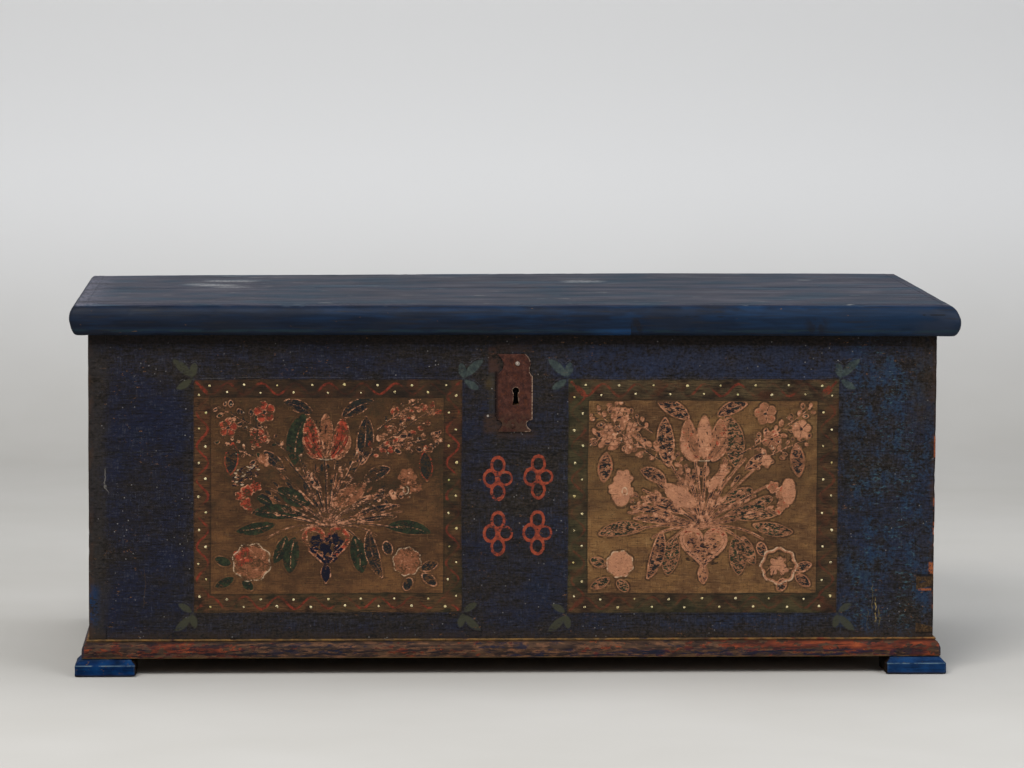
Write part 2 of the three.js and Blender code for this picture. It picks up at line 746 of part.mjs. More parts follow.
// Plate with three bolt guides, nailed to the inside of the front.
function lockPlate() {
  const plate = fuse(
    box(LOCK_X - 72, LOCK_X + 72, PLATE_Y0, PLATE_Y1, KEY_Z - 41, KEY_Z + 73),
    boltGuide(LOCK_X - 30, LOCK_X - 25),
    boltGuide(LOCK_X - 17, LOCK_X - 12),
    boltGuide(LOCK_X + 8, LOCK_X + 13),
  );
  const holes = [
    keyhole(PLATE_Y0 - OVERCUT, PLATE_Y1 + OVERCUT, 0.4),
    ...LOCK_NAILS.map(([x, z]) => nailHole("front", x, PLATE_Y1, z, 8)),
  ];
  piece(lock, "lock_plate", carve(plate, holes), darkIron);
  LOCK_NAILS.forEach(([x, z], i) => {
    nail(lock, `lock_nail_${i + 1}`, "front", [x, PLATE_Y1 + GAP, z]);
  });
}

// A shallow tray over the works, open towards the plate, and at the top for the hasp.
function lockCover() {
  const sheet = 2;
  const x0 = LOCK_X - 58;
  const x1 = LOCK_X + 58;
  const y0 = PLATE_Y1 + GAP;
  const y1 = -218;
  const z0 = KEY_Z - 37;
  const z1 = KEY_Z + 66;
  const hollow = box(
    x0 + sheet,
    x1 - sheet,
    y0 - OVERCUT,
    y1 - sheet,
    z0 + sheet,
    z1 + OVERCUT,
  );
  const cover = carve(solid(box(x0, x1, y0, y1, z0, z1)), [hollow]);
  piece(lock, "lock_cover", cover, darkIron);
}

// A bar with a talon notch for the key underneath.
function lockBolt() {
  const bar = box(LOCK_X - 52, LOCK_X - 9, BOLT_Y0, BOLT_Y1, BOLT_Z0, BOLT_Z1);
  const notch = box(
    LOCK_X - 45,
    LOCK_X - 34,
    BOLT_Y0 - OVERCUT,
    BOLT_Y1 + OVERCUT,
    BOLT_Z0 - OVERCUT,
    BOLT_Z0 + 4.5,
  );
  piece(chest, "lock_bolt", carve(solid(bar), [notch]), darkIron);
}

// Leaf spring that bears down on the tail of the bolt: x, z from the keyhole centre.
const SPRING_OUTLINE = [
  [-55.5, 50], [-54.4, 50], [-54.4, 61], [-44, 59], [-37, 54.6],
  [-33, 54.6], [-32, 55.8], [-36.4, 55.8], [-43.4, 60.2], [-55.5, 62.4],
];
function lockSpring() {
  const shape = SPRING_OUTLINE.map(([x, z]) => [LOCK_X + x, KEY_Z + z]);
  piece(lock, "lock_spring", pull(shape, "y", BOLT_Y0, BOLT_Y1), darkIron);
}

// A partial ring round the key's path, just inside the cover.
function wardRing() {
  const start = -Math.PI * 0.18;
  const end = Math.PI * 1.18;
  const shape = new THREE.Shape();
  shape.absarc(LOCK_X, KEY_Z, 15, start, end, false);
  shape.absarc(LOCK_X, KEY_Z, 13, end, start, true);
  piece(lock, "ward_ring", pull(shape, "y", -230, -220.3, 16), darkIron);
}

// ---------------------------------------------------------------- assembly
feetAndFloor();
trim(carcass, "plinth", PLINTH_PROFILE, mouldPaint, {
  centreX: 0,
  innerX: BODY_X + GAP,
  innerY: BODY_Y + GAP,
  rearY: BODY_Y,
});
frontWall();
backWall();
endWalls();
tillBox();
tillLidBoard();

lidBoard("lid_board_front", -LIP_IN_Y + GAP, LID_JOINT);
lidBoard("lid_board_rear", LID_JOINT + GAP, LID_REAR);
trim(lid, "lid_moulding", LIP_PROFILE, lidPaint, {
  centreX: LID_DX,
  innerX: LIP_IN_X,
  innerY: LIP_IN_Y,
  rearY: LID_REAR,
});
for (const [side, sign] of SIDES) {
  hingeStrap(side, sign * HINGE_X);
  hingeLeaf(side, sign * HINGE_X);
  hingePin(side, sign * HINGE_X);
}
lidHasp();

escutcheon();
lockPlate();
lockCover();
lockBolt();
lockSpring();
wardRing();

// Brings the middle of the lid over the origin.
chest.position.x = -LID_DX;
const root = new THREE.Group();
root.add(chest);
export default root;
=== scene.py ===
import math

import bmesh
import bpy
import numpy as np
from mathutils import Matrix, Vector


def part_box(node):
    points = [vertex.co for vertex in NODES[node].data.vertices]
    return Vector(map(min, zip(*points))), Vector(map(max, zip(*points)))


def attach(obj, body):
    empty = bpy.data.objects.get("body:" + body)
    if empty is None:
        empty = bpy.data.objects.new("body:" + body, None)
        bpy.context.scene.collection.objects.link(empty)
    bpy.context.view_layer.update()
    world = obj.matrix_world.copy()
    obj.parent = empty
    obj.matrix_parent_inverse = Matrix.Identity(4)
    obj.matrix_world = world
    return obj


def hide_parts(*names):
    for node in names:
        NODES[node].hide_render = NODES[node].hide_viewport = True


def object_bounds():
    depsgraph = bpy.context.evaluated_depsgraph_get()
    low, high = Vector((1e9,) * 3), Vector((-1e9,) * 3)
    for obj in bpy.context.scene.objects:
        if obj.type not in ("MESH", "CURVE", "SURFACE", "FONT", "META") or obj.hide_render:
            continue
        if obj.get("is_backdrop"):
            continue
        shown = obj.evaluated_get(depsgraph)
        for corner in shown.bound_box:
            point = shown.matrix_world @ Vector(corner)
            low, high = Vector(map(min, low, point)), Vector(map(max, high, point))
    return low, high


# Painted blanket chest: looks. Lengths inside the helpers are millimetres in the row frame; meshes are written in metres.
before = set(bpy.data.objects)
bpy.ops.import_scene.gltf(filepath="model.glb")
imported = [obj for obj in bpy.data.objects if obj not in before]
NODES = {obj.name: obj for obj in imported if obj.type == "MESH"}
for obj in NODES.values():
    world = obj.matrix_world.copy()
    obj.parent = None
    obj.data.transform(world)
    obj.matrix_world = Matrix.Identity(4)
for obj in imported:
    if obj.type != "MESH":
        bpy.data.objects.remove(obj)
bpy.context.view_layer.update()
scene = bpy.context.scene
MM = 0.001
CX = -2.5          # middle of the walls: the lid sits 2.5 mm further right
HALF_X, HALF_Y = 596.0, 269.0
JOINT_Z = 314.0    # joint between the two front planks
TAILS_Z = ((71, 117.5), (146.5, 178.5), (207.5, 244.5), (273.5, 306.5), (335.5, 378.5), (407.5, 466))   # dovetails


# ---------------------------------------------------------------- noise and mesh helpers

def lattice(ix, iy, iz, seed):
    h = (ix * 73856093) ^ (iy * 19349663) ^ (iz * 83492791) ^ (seed * 265443576 + 977)
    h = h & 0xFFFFFFFF
    h = (((h >> 16) ^ h) * 0x45D9F3B) & 0xFFFFFFFF
    h = (((h >> 16) ^ h) * 0x45D9F3B) & 0xFFFFFFFF
    return ((h >> 16) ^ h) / 4294967295.0


def noise(p, size, seed=0, octaves=1):
    """Smooth noise from -1 to 1 at points p (mm), with features about size mm across."""
    p = np.asarray(p, float) / np.asarray(size, float)
    total, norm, amp = 0.0, 0.0, 1.0
    for k in range(octaves):
        q = p * (2.0 ** k) + 13.7 * k
        i = np.floor(q).astype(np.int64)
        f = q - i
        u = f * f * (3 - 2 * f)
        v = 0.0
        for dx in (0, 1):
            wx = u[:, 0] if dx else 1 - u[:, 0]
            for dy in (0, 1):
                wy = u[:, 1] if dy else 1 - u[:, 1]
                for dz in (0, 1):
                    wz = u[:, 2] if dz else 1 - u[:, 2]
                    v = v + wx * wy * wz * lattice(i[:, 0] + dx, i[:, 1] + dy, i[:, 2] + dz, seed + 31 * k)
        total = total + amp * (2 * v - 1)
        norm += amp
        amp *= 0.5
    return total / norm


def step_up(x, lo, hi):
    t = np.clip((x - lo) / (hi - lo), 0, 1)
    return t * t * (3 - 2 * t)


def link(name, mesh, body, smooth=True):
    if smooth:
        mesh.shade_smooth()
    ob = bpy.data.objects.new(name, mesh)
    scene.collection.objects.link(ob)
    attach(ob, body)
    return ob


def make(name, verts, faces, body, smooth=True):
    me = bpy.data.meshes.new(name)
    me.from_pydata((np.asarray(verts, float) * MM).tolist(), [], [list(map(int, f)) for f in faces])
    me.update()
    return link(name, me, body, smooth)


def points(ob):
    co = np.zeros(len(ob.data.vertices) * 3, np.float32)
    ob.data.vertices.foreach_get("co", co)
    return co.reshape(-1, 3).astype(float) / MM


def attribute(ob, name, values):
    a = ob.data.attributes.get(name) or ob.data.attributes.new(name, "FLOAT", "POINT")
    a.data.foreach_set("value", np.asarray(values, np.float32))


def wall_relief(p):
    """How far the face of a hand-planed wall board lies behind its flat, in mm."""
    return 0.22 * (1 + noise(p, (150, 150, 46), 3)) + 0.10 * (1 + noise(p, (60, 60, 18), 4))


def lid_relief(p):
    return 0.25 * (1 + noise(p, (170, 60, 60), 5)) + 0.12 * (1 + noise(p, (70, 16, 30), 6))


def foot_relief(p):
    return 0.5 * (1 + noise(p, (34, 34, 20), 7)) + 0.25 * (1 + noise(p, (12, 12, 8), 8))


def iron_relief(p):
    return 0.10 * (1 + noise(p, (9, 9, 9), 9)) + 0.08 * (1 + noise(p, (3.5, 3.5, 3.5), 10))


def close_joints(bm, amount):
    """Moves the faces of a wall board that meet other boards outwards by amount mm, so that paint bridges the joint."""
    moves = {}
    for v in bm.verts:
        rows, offs = [], []
        for f in v.link_faces:
            c, n = f.calc_center_median() / MM, f.normal
            outer = max(abs(c.x - CX) - HALF_X, abs(c.y) - HALF_Y) > -0.2 and max(abs(n.x), abs(n.y)) > 0.9
            inner = (abs(abs(c.x - CX) - (HALF_X - 25)) < 0.2 and abs(n.x) > 0.9 and abs(c.y) < HALF_Y - 25) or \
                    (abs(abs(c.y) - (HALF_Y - 25)) < 0.2 and abs(n.y) > 0.9 and abs(c.x - CX) < HALF_X - 25)
            end = c.z > 496.5 or c.z < 44.8
            rows.append(tuple(n))
            offs.append(0.0 if outer or inner or end else amount * MM)
        if any(offs):
            d = np.linalg.pinv(np.array(rows), rcond=1e-3) @ np.array(offs)
            if np.linalg.norm(d) < 4 * amount * MM:
                moves[v] = Vector(d)
    for v, d in moves.items():
        v.co += d


def bend_of(me, n):
    """0 on flats to 1 where the surface turns sharply, at each vertex."""
    fn = np.zeros(len(me.polygons) * 3, np.float32)
    me.polygons.foreach_get("normal", fn)
    fn = fn.reshape(-1, 3)
    count = np.zeros(len(me.polygons), np.int32)
    me.polygons.foreach_get("loop_total", count)
    lv = np.zeros(len(me.loops), np.int32)
    me.loops.foreach_get("vertex_index", lv)
    dots = np.einsum("ij,ij->i", fn[np.repeat(np.arange(len(count)), count)], n[lv])
    low = np.ones(len(n))
    np.minimum.at(low, lv, dots)
    return np.clip((1 - low) / 0.025, 0, 1)


def worn(node, body, step, bevel, relief, chips=0.0, segments=2, chip_size=7.0, keep=None, close=0.0):
    """A copy of a CAD node with soft arrises, cut into small faces and worn inwards. It stands for the node.
    keep(edge) says which arrises are rounded, if not all."""
    bm = bmesh.new()
    bm.from_mesh(NODES[node].data)
    bmesh.ops.remove_doubles(bm, verts=bm.verts[:], dist=1e-5)
    bmesh.ops.dissolve_limit(bm, angle_limit=math.radians(0.6), verts=bm.verts[:], edges=bm.edges[:])
    if close:
        bm.normal_update()
        close_joints(bm, close)
    sharp = [e for e in bm.edges if len(e.link_faces) == 2 and e.calc_face_angle() > 0.35]
    if keep:
        sharp = [e for e in sharp if keep(e)]
    bmesh.ops.bevel(bm, geom=sharp, offset=bevel * MM, offset_type="OFFSET", segments=segments, profile=0.5,
                    affect="EDGES", clamp_overlap=True)
    co = np.array([v.co for v in bm.verts])
    lo, hi = co.min(0), co.max(0)
    steps = step if isinstance(step, (tuple, list)) else (step,) * 3
    for axis in range(3):
        n = int((hi[axis] - lo[axis]) / MM / steps[axis])
        for k in range(1, n):
            at, no = [0.0] * 3, [0.0] * 3
            at[axis] = lo[axis] + (hi[axis] - lo[axis]) * k / n
            no[axis] = 1.0
            bmesh.ops.bisect_plane(bm, geom=bm.verts[:] + bm.edges[:] + bm.faces[:], dist=1e-6,
                                   plane_co=at, plane_no=no)
    bm.normal_update()
    me = bpy.data.meshes.new(node + "_worn")
    bm.to_mesh(me)
    bm.free()
    ob = link(node + "_worn", me, body)
    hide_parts(node)
    p = points(ob)
    n = np.zeros(len(p) * 3, np.float32)
    me.vertices.foreach_get("normal", n)
    n = n.reshape(-1, 3).astype(float)
    edge = bend_of(me, n)
    if close:
        near = (np.abs(p[:, 0] - CX) > HALF_X - 2.5) & (np.abs(p[:, 1]) > HALF_Y - 2.5)
        edge = np.where(near | (p[:, 2] > 495.5), edge, 0)
    depth = relief(p)
    if chips:
        depth = depth + edge * chips * np.clip(noise(p, chip_size, 21, 2) * 2.2 - 0.35, 0, 1)
    way = n
    if close:
        # walls: only the outer faces and the rounded arrises wear; joint faces stay put
        fx, fy = np.abs(p[:, 0] - CX) > HALF_X - 0.9, np.abs(p[:, 1]) > HALF_Y - 0.9
        sx, sy = np.sign(p[:, 0] - CX), np.sign(p[:, 1])
        way = np.stack([sx * fx, sy * fy, np.zeros(len(p))], 1).astype(float)
    q = (p - way * depth[:, None]) * MM
    me.vertices.foreach_set("co", q.astype(np.float32).ravel())
    me.update()
    bm = bmesh.new()
    bm.from_mesh(me)
    for e in bm.edges:
        if len(e.link_faces) == 2 and e.calc_face_angle(0) > math.radians(50 if close else 60):
            e.smooth = False
    bm.to_mesh(me)
    bm.free()
    attribute(ob, "edge", edge)
    attribute(ob, "up", n[:, 2])
    attribute(ob, "front", -n[:, 1])
    if chips or bevel >= 0.8:
        mod = ob.modifiers.new("weighted", "WEIGHTED_NORMAL")
        mod.keep_sharp = True
    return ob, p, n


def soften(node, width, segments=2):
    """Rounded arrises on a CAD node that is shown as it is."""
    ob = NODES[node]
    b = ob.modifiers.new("bevel", "BEVEL")
    b.width = width * MM
    b.segments = segments
    b.limit_method = "ANGLE"
    b.angle_limit = math.radians(35)
    w = ob.modifiers.new("weighted", "WEIGHTED_NORMAL")
    w.keep_sharp = True
    return ob


def loft(name, rings, body):
    """Closed skin through rings, an array (stations, points, 3), with flat caps."""
    s, m = rings.shape[:2]
    verts = rings.reshape(-1, 3)
    faces = []
    for i in range(s - 1):
        for j in range(m):
            k = (j + 1) % m
            faces.append((i * m + j, i * m + k, (i + 1) * m + k, (i + 1) * m + j))
    faces.append(tuple(range(m - 1, -1, -1)))
    faces.append(tuple((s - 1) * m + j for j in range(m)))
    ob = make(name, verts, faces, body)
    bm = bmesh.new()
    bm.from_mesh(ob.data)
    bmesh.ops.recalc_face_normals(bm, faces=bm.faces[:])
    for e in bm.edges:
        if len(e.link_faces) == 2 and e.calc_face_angle(0) > math.radians(38):
            e.smooth = False
    bm.to_mesh(ob.data)
    bm.free()
    return ob


def resample(poly, spacing):
    """Points along an open polyline about spacing apart, keeping its corners."""
    poly = np.asarray(poly, float)
    out = [poly[0]]
    for a, b in zip(poly[:-1], poly[1:]):
        n = max(1, int(round(np.linalg.norm(b - a) / spacing)))
        for k in range(1, n + 1):
            out.append(a + (b - a) * k / n)
    return np.array(out)


# ---------------------------------------------------------------- shader helpers

def rgb(h):
    c = [int(h[i:i + 2], 16) / 255 for i in (1, 3, 5)]
    return tuple(x / 12.92 if x <= 0.04045 else ((x + 0.055) / 1.055) ** 2.4 for x in c) + (1.0,)


class Shade:
    """A procedural material written as expressions over object coordinates."""

    def __init__(self, name):
        self.m = bpy.data.materials.new(name)
        self.m.use_nodes = True
        self.t = self.m.node_tree
        self.t.nodes.clear()
        self.out = self.node("ShaderNodeOutputMaterial")
        self.b = self.node("ShaderNodeBsdfPrincipled")
        self.t.links.new(self.b.outputs[0], self.out.inputs["Surface"])
        self.p = self.node("ShaderNodeTexCoord").outputs["Object"]
        s = self.node("ShaderNodeSeparateXYZ")
        self.t.links.new(self.p, s.inputs[0])
        self.x, self.y, self.z = s.outputs

    def node(self, kind, **props):
        n = self.t.nodes.new(kind)
        for k, v in props.items():
            setattr(n, k, v)
        return n

    def put(self, socket, value):
        if isinstance(value, bpy.types.NodeSocket):
            self.t.links.new(value, socket)
        elif isinstance(value, str):
            socket.default_value = rgb(value)
        else:
            socket.default_value = value

    def math(self, op, a, b=0.0, c=0.0, clamp=False):
        n = self.node("ShaderNodeMath", operation=op, use_clamp=clamp)
        self.put(n.inputs[0], a)
        self.put(n.inputs[1], b)
        self.put(n.inputs[2], c)
        return n.outputs[0]

    def mul(self, *v):
        r = v[0]
        for k in v[1:]:
            r = self.math("MULTIPLY", r, k)
        return r

    def add(self, a, b):
        return self.math("ADD", a, b)

    def sub(self, a, b):
        return self.math("SUBTRACT", a, b)

    def most(self, *v):
        r = v[0]
        for k in v[1:]:
            r = self.math("MAXIMUM", r, k)
        return r

    def inv(self, a):
        return self.math("SUBTRACT", 1.0, a, clamp=True)

    def noise(self, size, detail=3.0, rough=0.55, seed=0.0, distort=0.0, at=None):
        """Noise whose features are about size mm across: one number, or three for x, y and z."""
        s = size if isinstance(size, (tuple, list)) else (size,) * 3
        m = self.node("ShaderNodeVectorMath", operation="MULTIPLY_ADD")
        self.put(m.inputs[0], at if at is not None else self.p)
        m.inputs[1].default_value = tuple(1000.0 / v for v in s)
        m.inputs[2].default_value = (seed * 7.13, seed * 3.37, seed * 5.71)
        n = self.node("ShaderNodeTexNoise")
        self.put(n.inputs["Vector"], m.outputs[0])
        n.inputs["Scale"].default_value = 1.0
        n.inputs["Detail"].default_value = detail
        n.inputs["Roughness"].default_value = rough
        n.inputs["Distortion"].default_value = distort
        return n.outputs[0]

    def cells(self, size, seed=0.0, feature="F1"):
        s = size if isinstance(size, (tuple, list)) else (size,) * 3
        m = self.node("ShaderNodeVectorMath", operation="MULTIPLY_ADD")
        self.put(m.inputs[0], self.p)
        m.inputs[1].default_value = tuple(1000.0 / v for v in s)
        m.inputs[2].default_value = (seed * 7.13, seed * 3.37, seed * 5.71)
        n = self.node("ShaderNodeTexVoronoi", feature=feature)
        self.put(n.inputs["Vector"], m.outputs[0])
        n.inputs["Scale"].default_value = 1.0
        return n

    def band(self, x, lo, hi):
        """0 below lo, 1 above hi; the other way round if lo is above hi."""
        n = self.node("ShaderNodeMapRange", interpolation_type="SMOOTHSTEP")
        self.put(n.inputs["Value"], x)
        a, b, u, v = (lo, hi, 0.0, 1.0) if lo < hi else (hi, lo, 1.0, 0.0)
        n.inputs["From Min"].default_value = a
        n.inputs["From Max"].default_value = b
        n.inputs["To Min"].default_value = u
        n.inputs["To Max"].default_value = v
        return n.outputs["Result"]

    def between(self, x, lo, hi, soft):
        return self.mul(self.band(x, lo - soft, lo + soft), self.band(x, hi + soft, hi - soft))

    def spot(self, x0, x1, z0, z1, soft=4.0):
        """1 inside a rectangle of the front, mm, with soft edges."""
        return self.mul(self.between(self.x, x0 * MM, x1 * MM, soft * MM), self.between(self.z, z0 * MM, z1 * MM, soft * MM))

    def mix(self, fac, a, b, blend="MIX"):
        n = self.node("ShaderNodeMix", data_type="RGBA", blend_type=blend, clamp_factor=True)
        for s in n.inputs:
            if s.identifier == "Factor_Float":
                self.put(s, fac)
            elif s.identifier == "A_Color":
                self.put(s, a)
            elif s.identifier == "B_Color":
                self.put(s, b)
        return [s for s in n.outputs if s.identifier == "Result_Color"][0]

    def ramp(self, fac, *stops):
        n = self.node("ShaderNodeValToRGB")
        self.put(n.inputs[0], fac)
        e = n.color_ramp.elements
        while len(e) < len(stops):
            e.new(0.5)
        for k, (at, colour) in enumerate(stops):
            e[k].position = at
            e[k].color = rgb(colour)
        return n.outputs[0]

    def level(self, colour, gain):
        """A colour times a number."""
        n = self.node("ShaderNodeVectorMath", operation="SCALE")
        self.put(n.inputs[0], colour)
        self.put(n.inputs["Scale"], gain)
        return n.outputs[0]

    def attr(self, name):
        return self.node("ShaderNodeAttribute", attribute_name=name).outputs["Fac"]

    def done(self, colour, rough=0.6, spec=0.3, bumps=(), metal=0.0):
        self.put(self.b.inputs["Base Color"], colour)
        self.put(self.b.inputs["Roughness"], rough)
        self.put(self.b.inputs["Specular IOR Level"], spec)
        self.put(self.b.inputs["Metallic"], metal)
        last = None
        for height, distance in bumps:
            n = self.node("ShaderNodeBump")
            n.inputs["Strength"].default_value = 1.0
            n.inputs["Distance"].default_value = distance * MM
            self.put(n.inputs["Height"], height)
            if last is not None:
                self.t.links.new(last, n.inputs["Normal"])
            last = n.outputs[0]
        if last is not None:
            self.t.links.new(last, self.b.inputs["Normal"])
        return self.m


def paint_on(ob, material):
    ob.data.materials.clear()
    ob.data.materials.append(material)
    return ob


# ---------------------------------------------------------------- wood, iron and plain paints

def pine_colour(s, light, mid, dark, seed=0.0, grain="x"):
    """Old pine: long grain with darker late wood and stains."""
    long, across = 260.0, 5.5
    size = {"x": (long, across, across), "y": (across, long, across), "z": (across, across, long)}[grain]
    warp = s.noise(90, 2, 0.5, seed + 2)
    g = s.noise(size, 4, 0.6, seed, 0.6)
    fine = s.noise(tuple(v * 0.25 for v in size), 3, 0.6, seed + 5)
    c = s.ramp(s.add(s.mul(g, 0.55), s.mul(fine, 0.45)), (0.30, dark), (0.45, mid), (0.60, light))
    # growth rings that wander along the board
    cut = {"x": (420.0, 46.0, 46.0), "y": (46.0, 420.0, 46.0), "z": (46.0, 46.0, 420.0)}[grain]
    rings = s.math("SINE", s.mul(s.noise(cut, 2, 0.45, seed + 7), 95.0))
    c = s.mix(s.mul(s.band(rings, 0.45, 0.95), s.band(fine, 0.36, 0.52), 0.42), c, dark)
    c = s.mix(s.mul(s.band(warp, 0.48, 0.72), 0.22), c, dark)
    # knots
    knot = s.cells(150, seed + 4).outputs["Distance"]
    c = s.mix(s.mul(s.band(knot, 0.115, 0.075), 0.55), c, dark)
    c = s.mix(s.mul(s.band(knot, 0.075, 0.050), 0.85), c, "#2f1d12")
    # old dirt
    dirt = s.noise((24, 24, 24), 4, 0.68, seed + 9)
    c = s.mix(s.mul(s.band(dirt, 0.56, 0.68), 0.35), c, "#4a3b2d")
    return c, g, fine


def pine(name, light, mid, dark, seed, grain="x"):
    s = Shade(name)
    c, g, fine = pine_colour(s, light, mid, dark, seed, grain)
    # the edge that shows along the foot of the back is dirty
    grime = s.mul(s.band(s.y, 0.2655, 0.2680), s.band(s.noise((40, 40, 12), 3, 0.6, seed + 5), 0.30, 0.60))
    c = s.mix(s.mul(s.band(s.y, 0.2655, 0.2680), 0.45), c, "#33261b")
    c = s.mix(s.mul(grime, 0.6), c, "#1f1813")
    return s.done(c, s.ramp(g, (0.3, "#b8b8b8"), (0.7, "#d8d8d8")), 0.2, ((g, 0.25), (fine, 0.12)))


def body_layers(s, film=False):
    """The dark blue ground of the walls, with its wear and painted shadow under the lid's lip and beside the keyhole
    plate. Returns colour, heights and two of its noises.
    film leaves out what lies outside the painted films: the corners, the ends, the foot and round the keyhole plate."""
    patch = s.noise((150, 120, 90), 3, 0.55, 1)
    cloud = s.noise((34, 34, 24), 4, 0.62, 2)
    hatch = s.noise((17, 17, 2.0), 3, 0.72, 3)
    weft = s.noise((2.2, 2.2, 17), 3, 0.72, 6)
    mottle = s.noise((4.5, 4.5, 3.4), 3, 0.70, 16)
    blue = s.ramp(s.add(s.mul(patch, 0.5), s.mul(cloud, 0.5)), (0.34, "#131522"), (0.46, "#141726"), (0.56, "#15192c"), (0.70, "#151926"))
    blue = s.mix(s.mul(s.band(s.x, -0.15, 0.35), 0.75), blue, s.ramp(cloud, (0.36, "#162036"), (0.60, "#1b2a44")))
    blue = s.mix(s.mul(s.band(hatch, 0.54, 0.68), 0.6), blue, "#212537")
    earth = s.ramp(mottle, (0.32, "#15120f"), (0.50, "#241f1a"), (0.68, "#3b3229"))
    # blue keeps in patches; elsewhere it is rubbed through to a brown ground in fine lines both ways
    keep = s.add(s.add(s.mul(patch, 0.62), s.mul(cloud, 0.45)), s.add(s.mul(hatch, 0.75), s.mul(weft, 0.55)))
    keep = s.add(keep, s.mul(mottle, 0.55))
    keep = s.add(keep, s.mul(s.between(s.x, (CX - 572) * MM, (CX - 462) * MM, 8 * MM), s.band(s.z, 0.44, 0.38), 0.13))
    keep = s.sub(keep, s.mul(s.band(s.z, 0.462, 0.490), 0.22))
    blueness = s.band(keep, 1.28, 1.76)
    c = s.mix(blueness, earth, blue)
    c = s.mix(s.mul(s.band(hatch, 0.46, 0.36), 0.70), c, "#0a0a0e")
    c = s.mix(s.mul(s.band(weft, 0.43, 0.34), 0.40), c, "#0d0d13")
    pale = s.mul(s.band(weft, 0.58, 0.68), s.band(cloud, 0.44, 0.6))
    c = s.mix(s.mul(pale, 0.50), c, "#2f3545")
    c = s.mix(s.mul(s.band(s.mul(hatch, weft), 0.31, 0.37), 0.5), c, "#3d3a38")
    glow = s.noise((7, 7, 2.8), 3, 0.7, 28)
    c = s.mix(s.mul(s.band(glow, 0.56, 0.68), s.band(cloud, 0.36, 0.60), 0.42), c, "#43434a")
    c = s.mix(s.mul(s.band(glow, 0.45, 0.35), 0.40), c, "#0b0b0f")
    if not film:
        # left end rubbed grey-brown, and one brighter blue repair near its foot
        ragged_x = s.add(s.x, s.mul(s.sub(s.noise((18, 18, 40), 4, 0.65, 20), 0.5), 0.06))
        left = s.mul(s.band(ragged_x, (CX - 560) * MM, (CX - 586) * MM), s.band(s.add(s.mul(cloud, 0.6), s.mul(hatch, 0.4)), 0.40, 0.50))
        front = s.band(s.y, -0.262, -0.2665)
        left = s.mul(left, front)
        c = s.mix(s.mul(left, 0.75), c, s.ramp(mottle, (0.3, "#1f1c1b"), (0.6, "#2c2826"), (0.75, "#38322d")))
        patch2 = s.mul(s.spot(CX - 600, CX - 584, 72, 126, 8), s.band(s.add(s.mul(cloud, 0.5), s.mul(mottle, 0.5)), 0.43, 0.53))
        c = s.mix(s.mul(patch2, front, 0.8), c, "#0c2c4d")
    ghost = s.add(s.mul(cloud, 0.5), s.mul(mottle, 0.5))
    if not film:
        for x0, x1, z0, z1, soft, near, shade in ((-39, -24, 426, 462, 3, 0.85, "#3a2720"), (-42, -32, 404, 417, 6, 0.62, "#4f3f20"),
                                                  (-39, -30, 366, 426, 3, 0.50, "#2f2a22"), (-46, -20, 341, 367, 4, 0.72, "#38281f"),
                                                  (-28, 26, 334, 345, 4, 0.55, "#34261d"), (-28, 22, 455, 466, 2, 0.5, "#33261f")):
            stain = s.mul(s.spot(x0, x1, z0, z1, soft), s.band(ghost, 0.36, 0.50), front)
            c = s.mix(s.mul(stain, near), c, shade)
        # a narrow near-black strip along the keyhole plate's left edge: painted shadow of the plate
        c = s.mix(s.mul(s.spot(-30.5, -27, 364, 428, 0.8), front, 0.85), c, "#170d0b")
        c = s.mix(s.mul(s.spot(-41.4, -38.6, 363.8, 366.6, 0.4), front), c, "#8f877e")
    # right end: flecks of a bluer paint and fine level scratches
    east = s.mul(s.band(s.x, (CX + 462) * MM, (CX + 492) * MM), s.band(s.x, (CX + 590) * MM, (CX + 560) * MM))
    rub = s.mul(s.band(s.x, (CX + 455) * MM, (CX + 480) * MM), s.band(s.add(s.mul(s.noise((22, 22, 40), 3, 0.6, 8), 0.6), s.mul(mottle, 0.4)), 0.50, 0.60))
    c = s.mix(s.mul(rub, 0.50), c, s.ramp(mottle, (0.35, "#18294a"), (0.65, "#213c50")))
    fleck = s.mul(east, s.band(s.noise((7, 7, 2.2), 3, 0.65, 24), 0.58, 0.66), s.band(s.noise((26, 26, 60), 2, 0.5, 25), 0.44, 0.56))
    c = s.mix(s.mul(fleck, 0.60), c, s.ramp(mottle, (0.35, "#22405a"), (0.65, "#44605f")))
    lines = s.mul(s.band(s.noise((16, 16, 0.9), 3, 0.6, 18), 0.64, 0.70), s.band(s.noise((30, 30, 26), 2, 0.5, 19), 0.50, 0.60))
    c = s.mix(s.mul(s.add(s.mul(east, 0.75), 0.18), lines), c, "#56666c")
    scratch = s.noise((80, 80, 0.8), 2, 0.5, 9)
    c = s.mix(s.mul(s.band(scratch, 0.70, 0.75), s.band(cloud, 0.5, 0.6), 0.6), c, "#4a4d55")
    if not film:
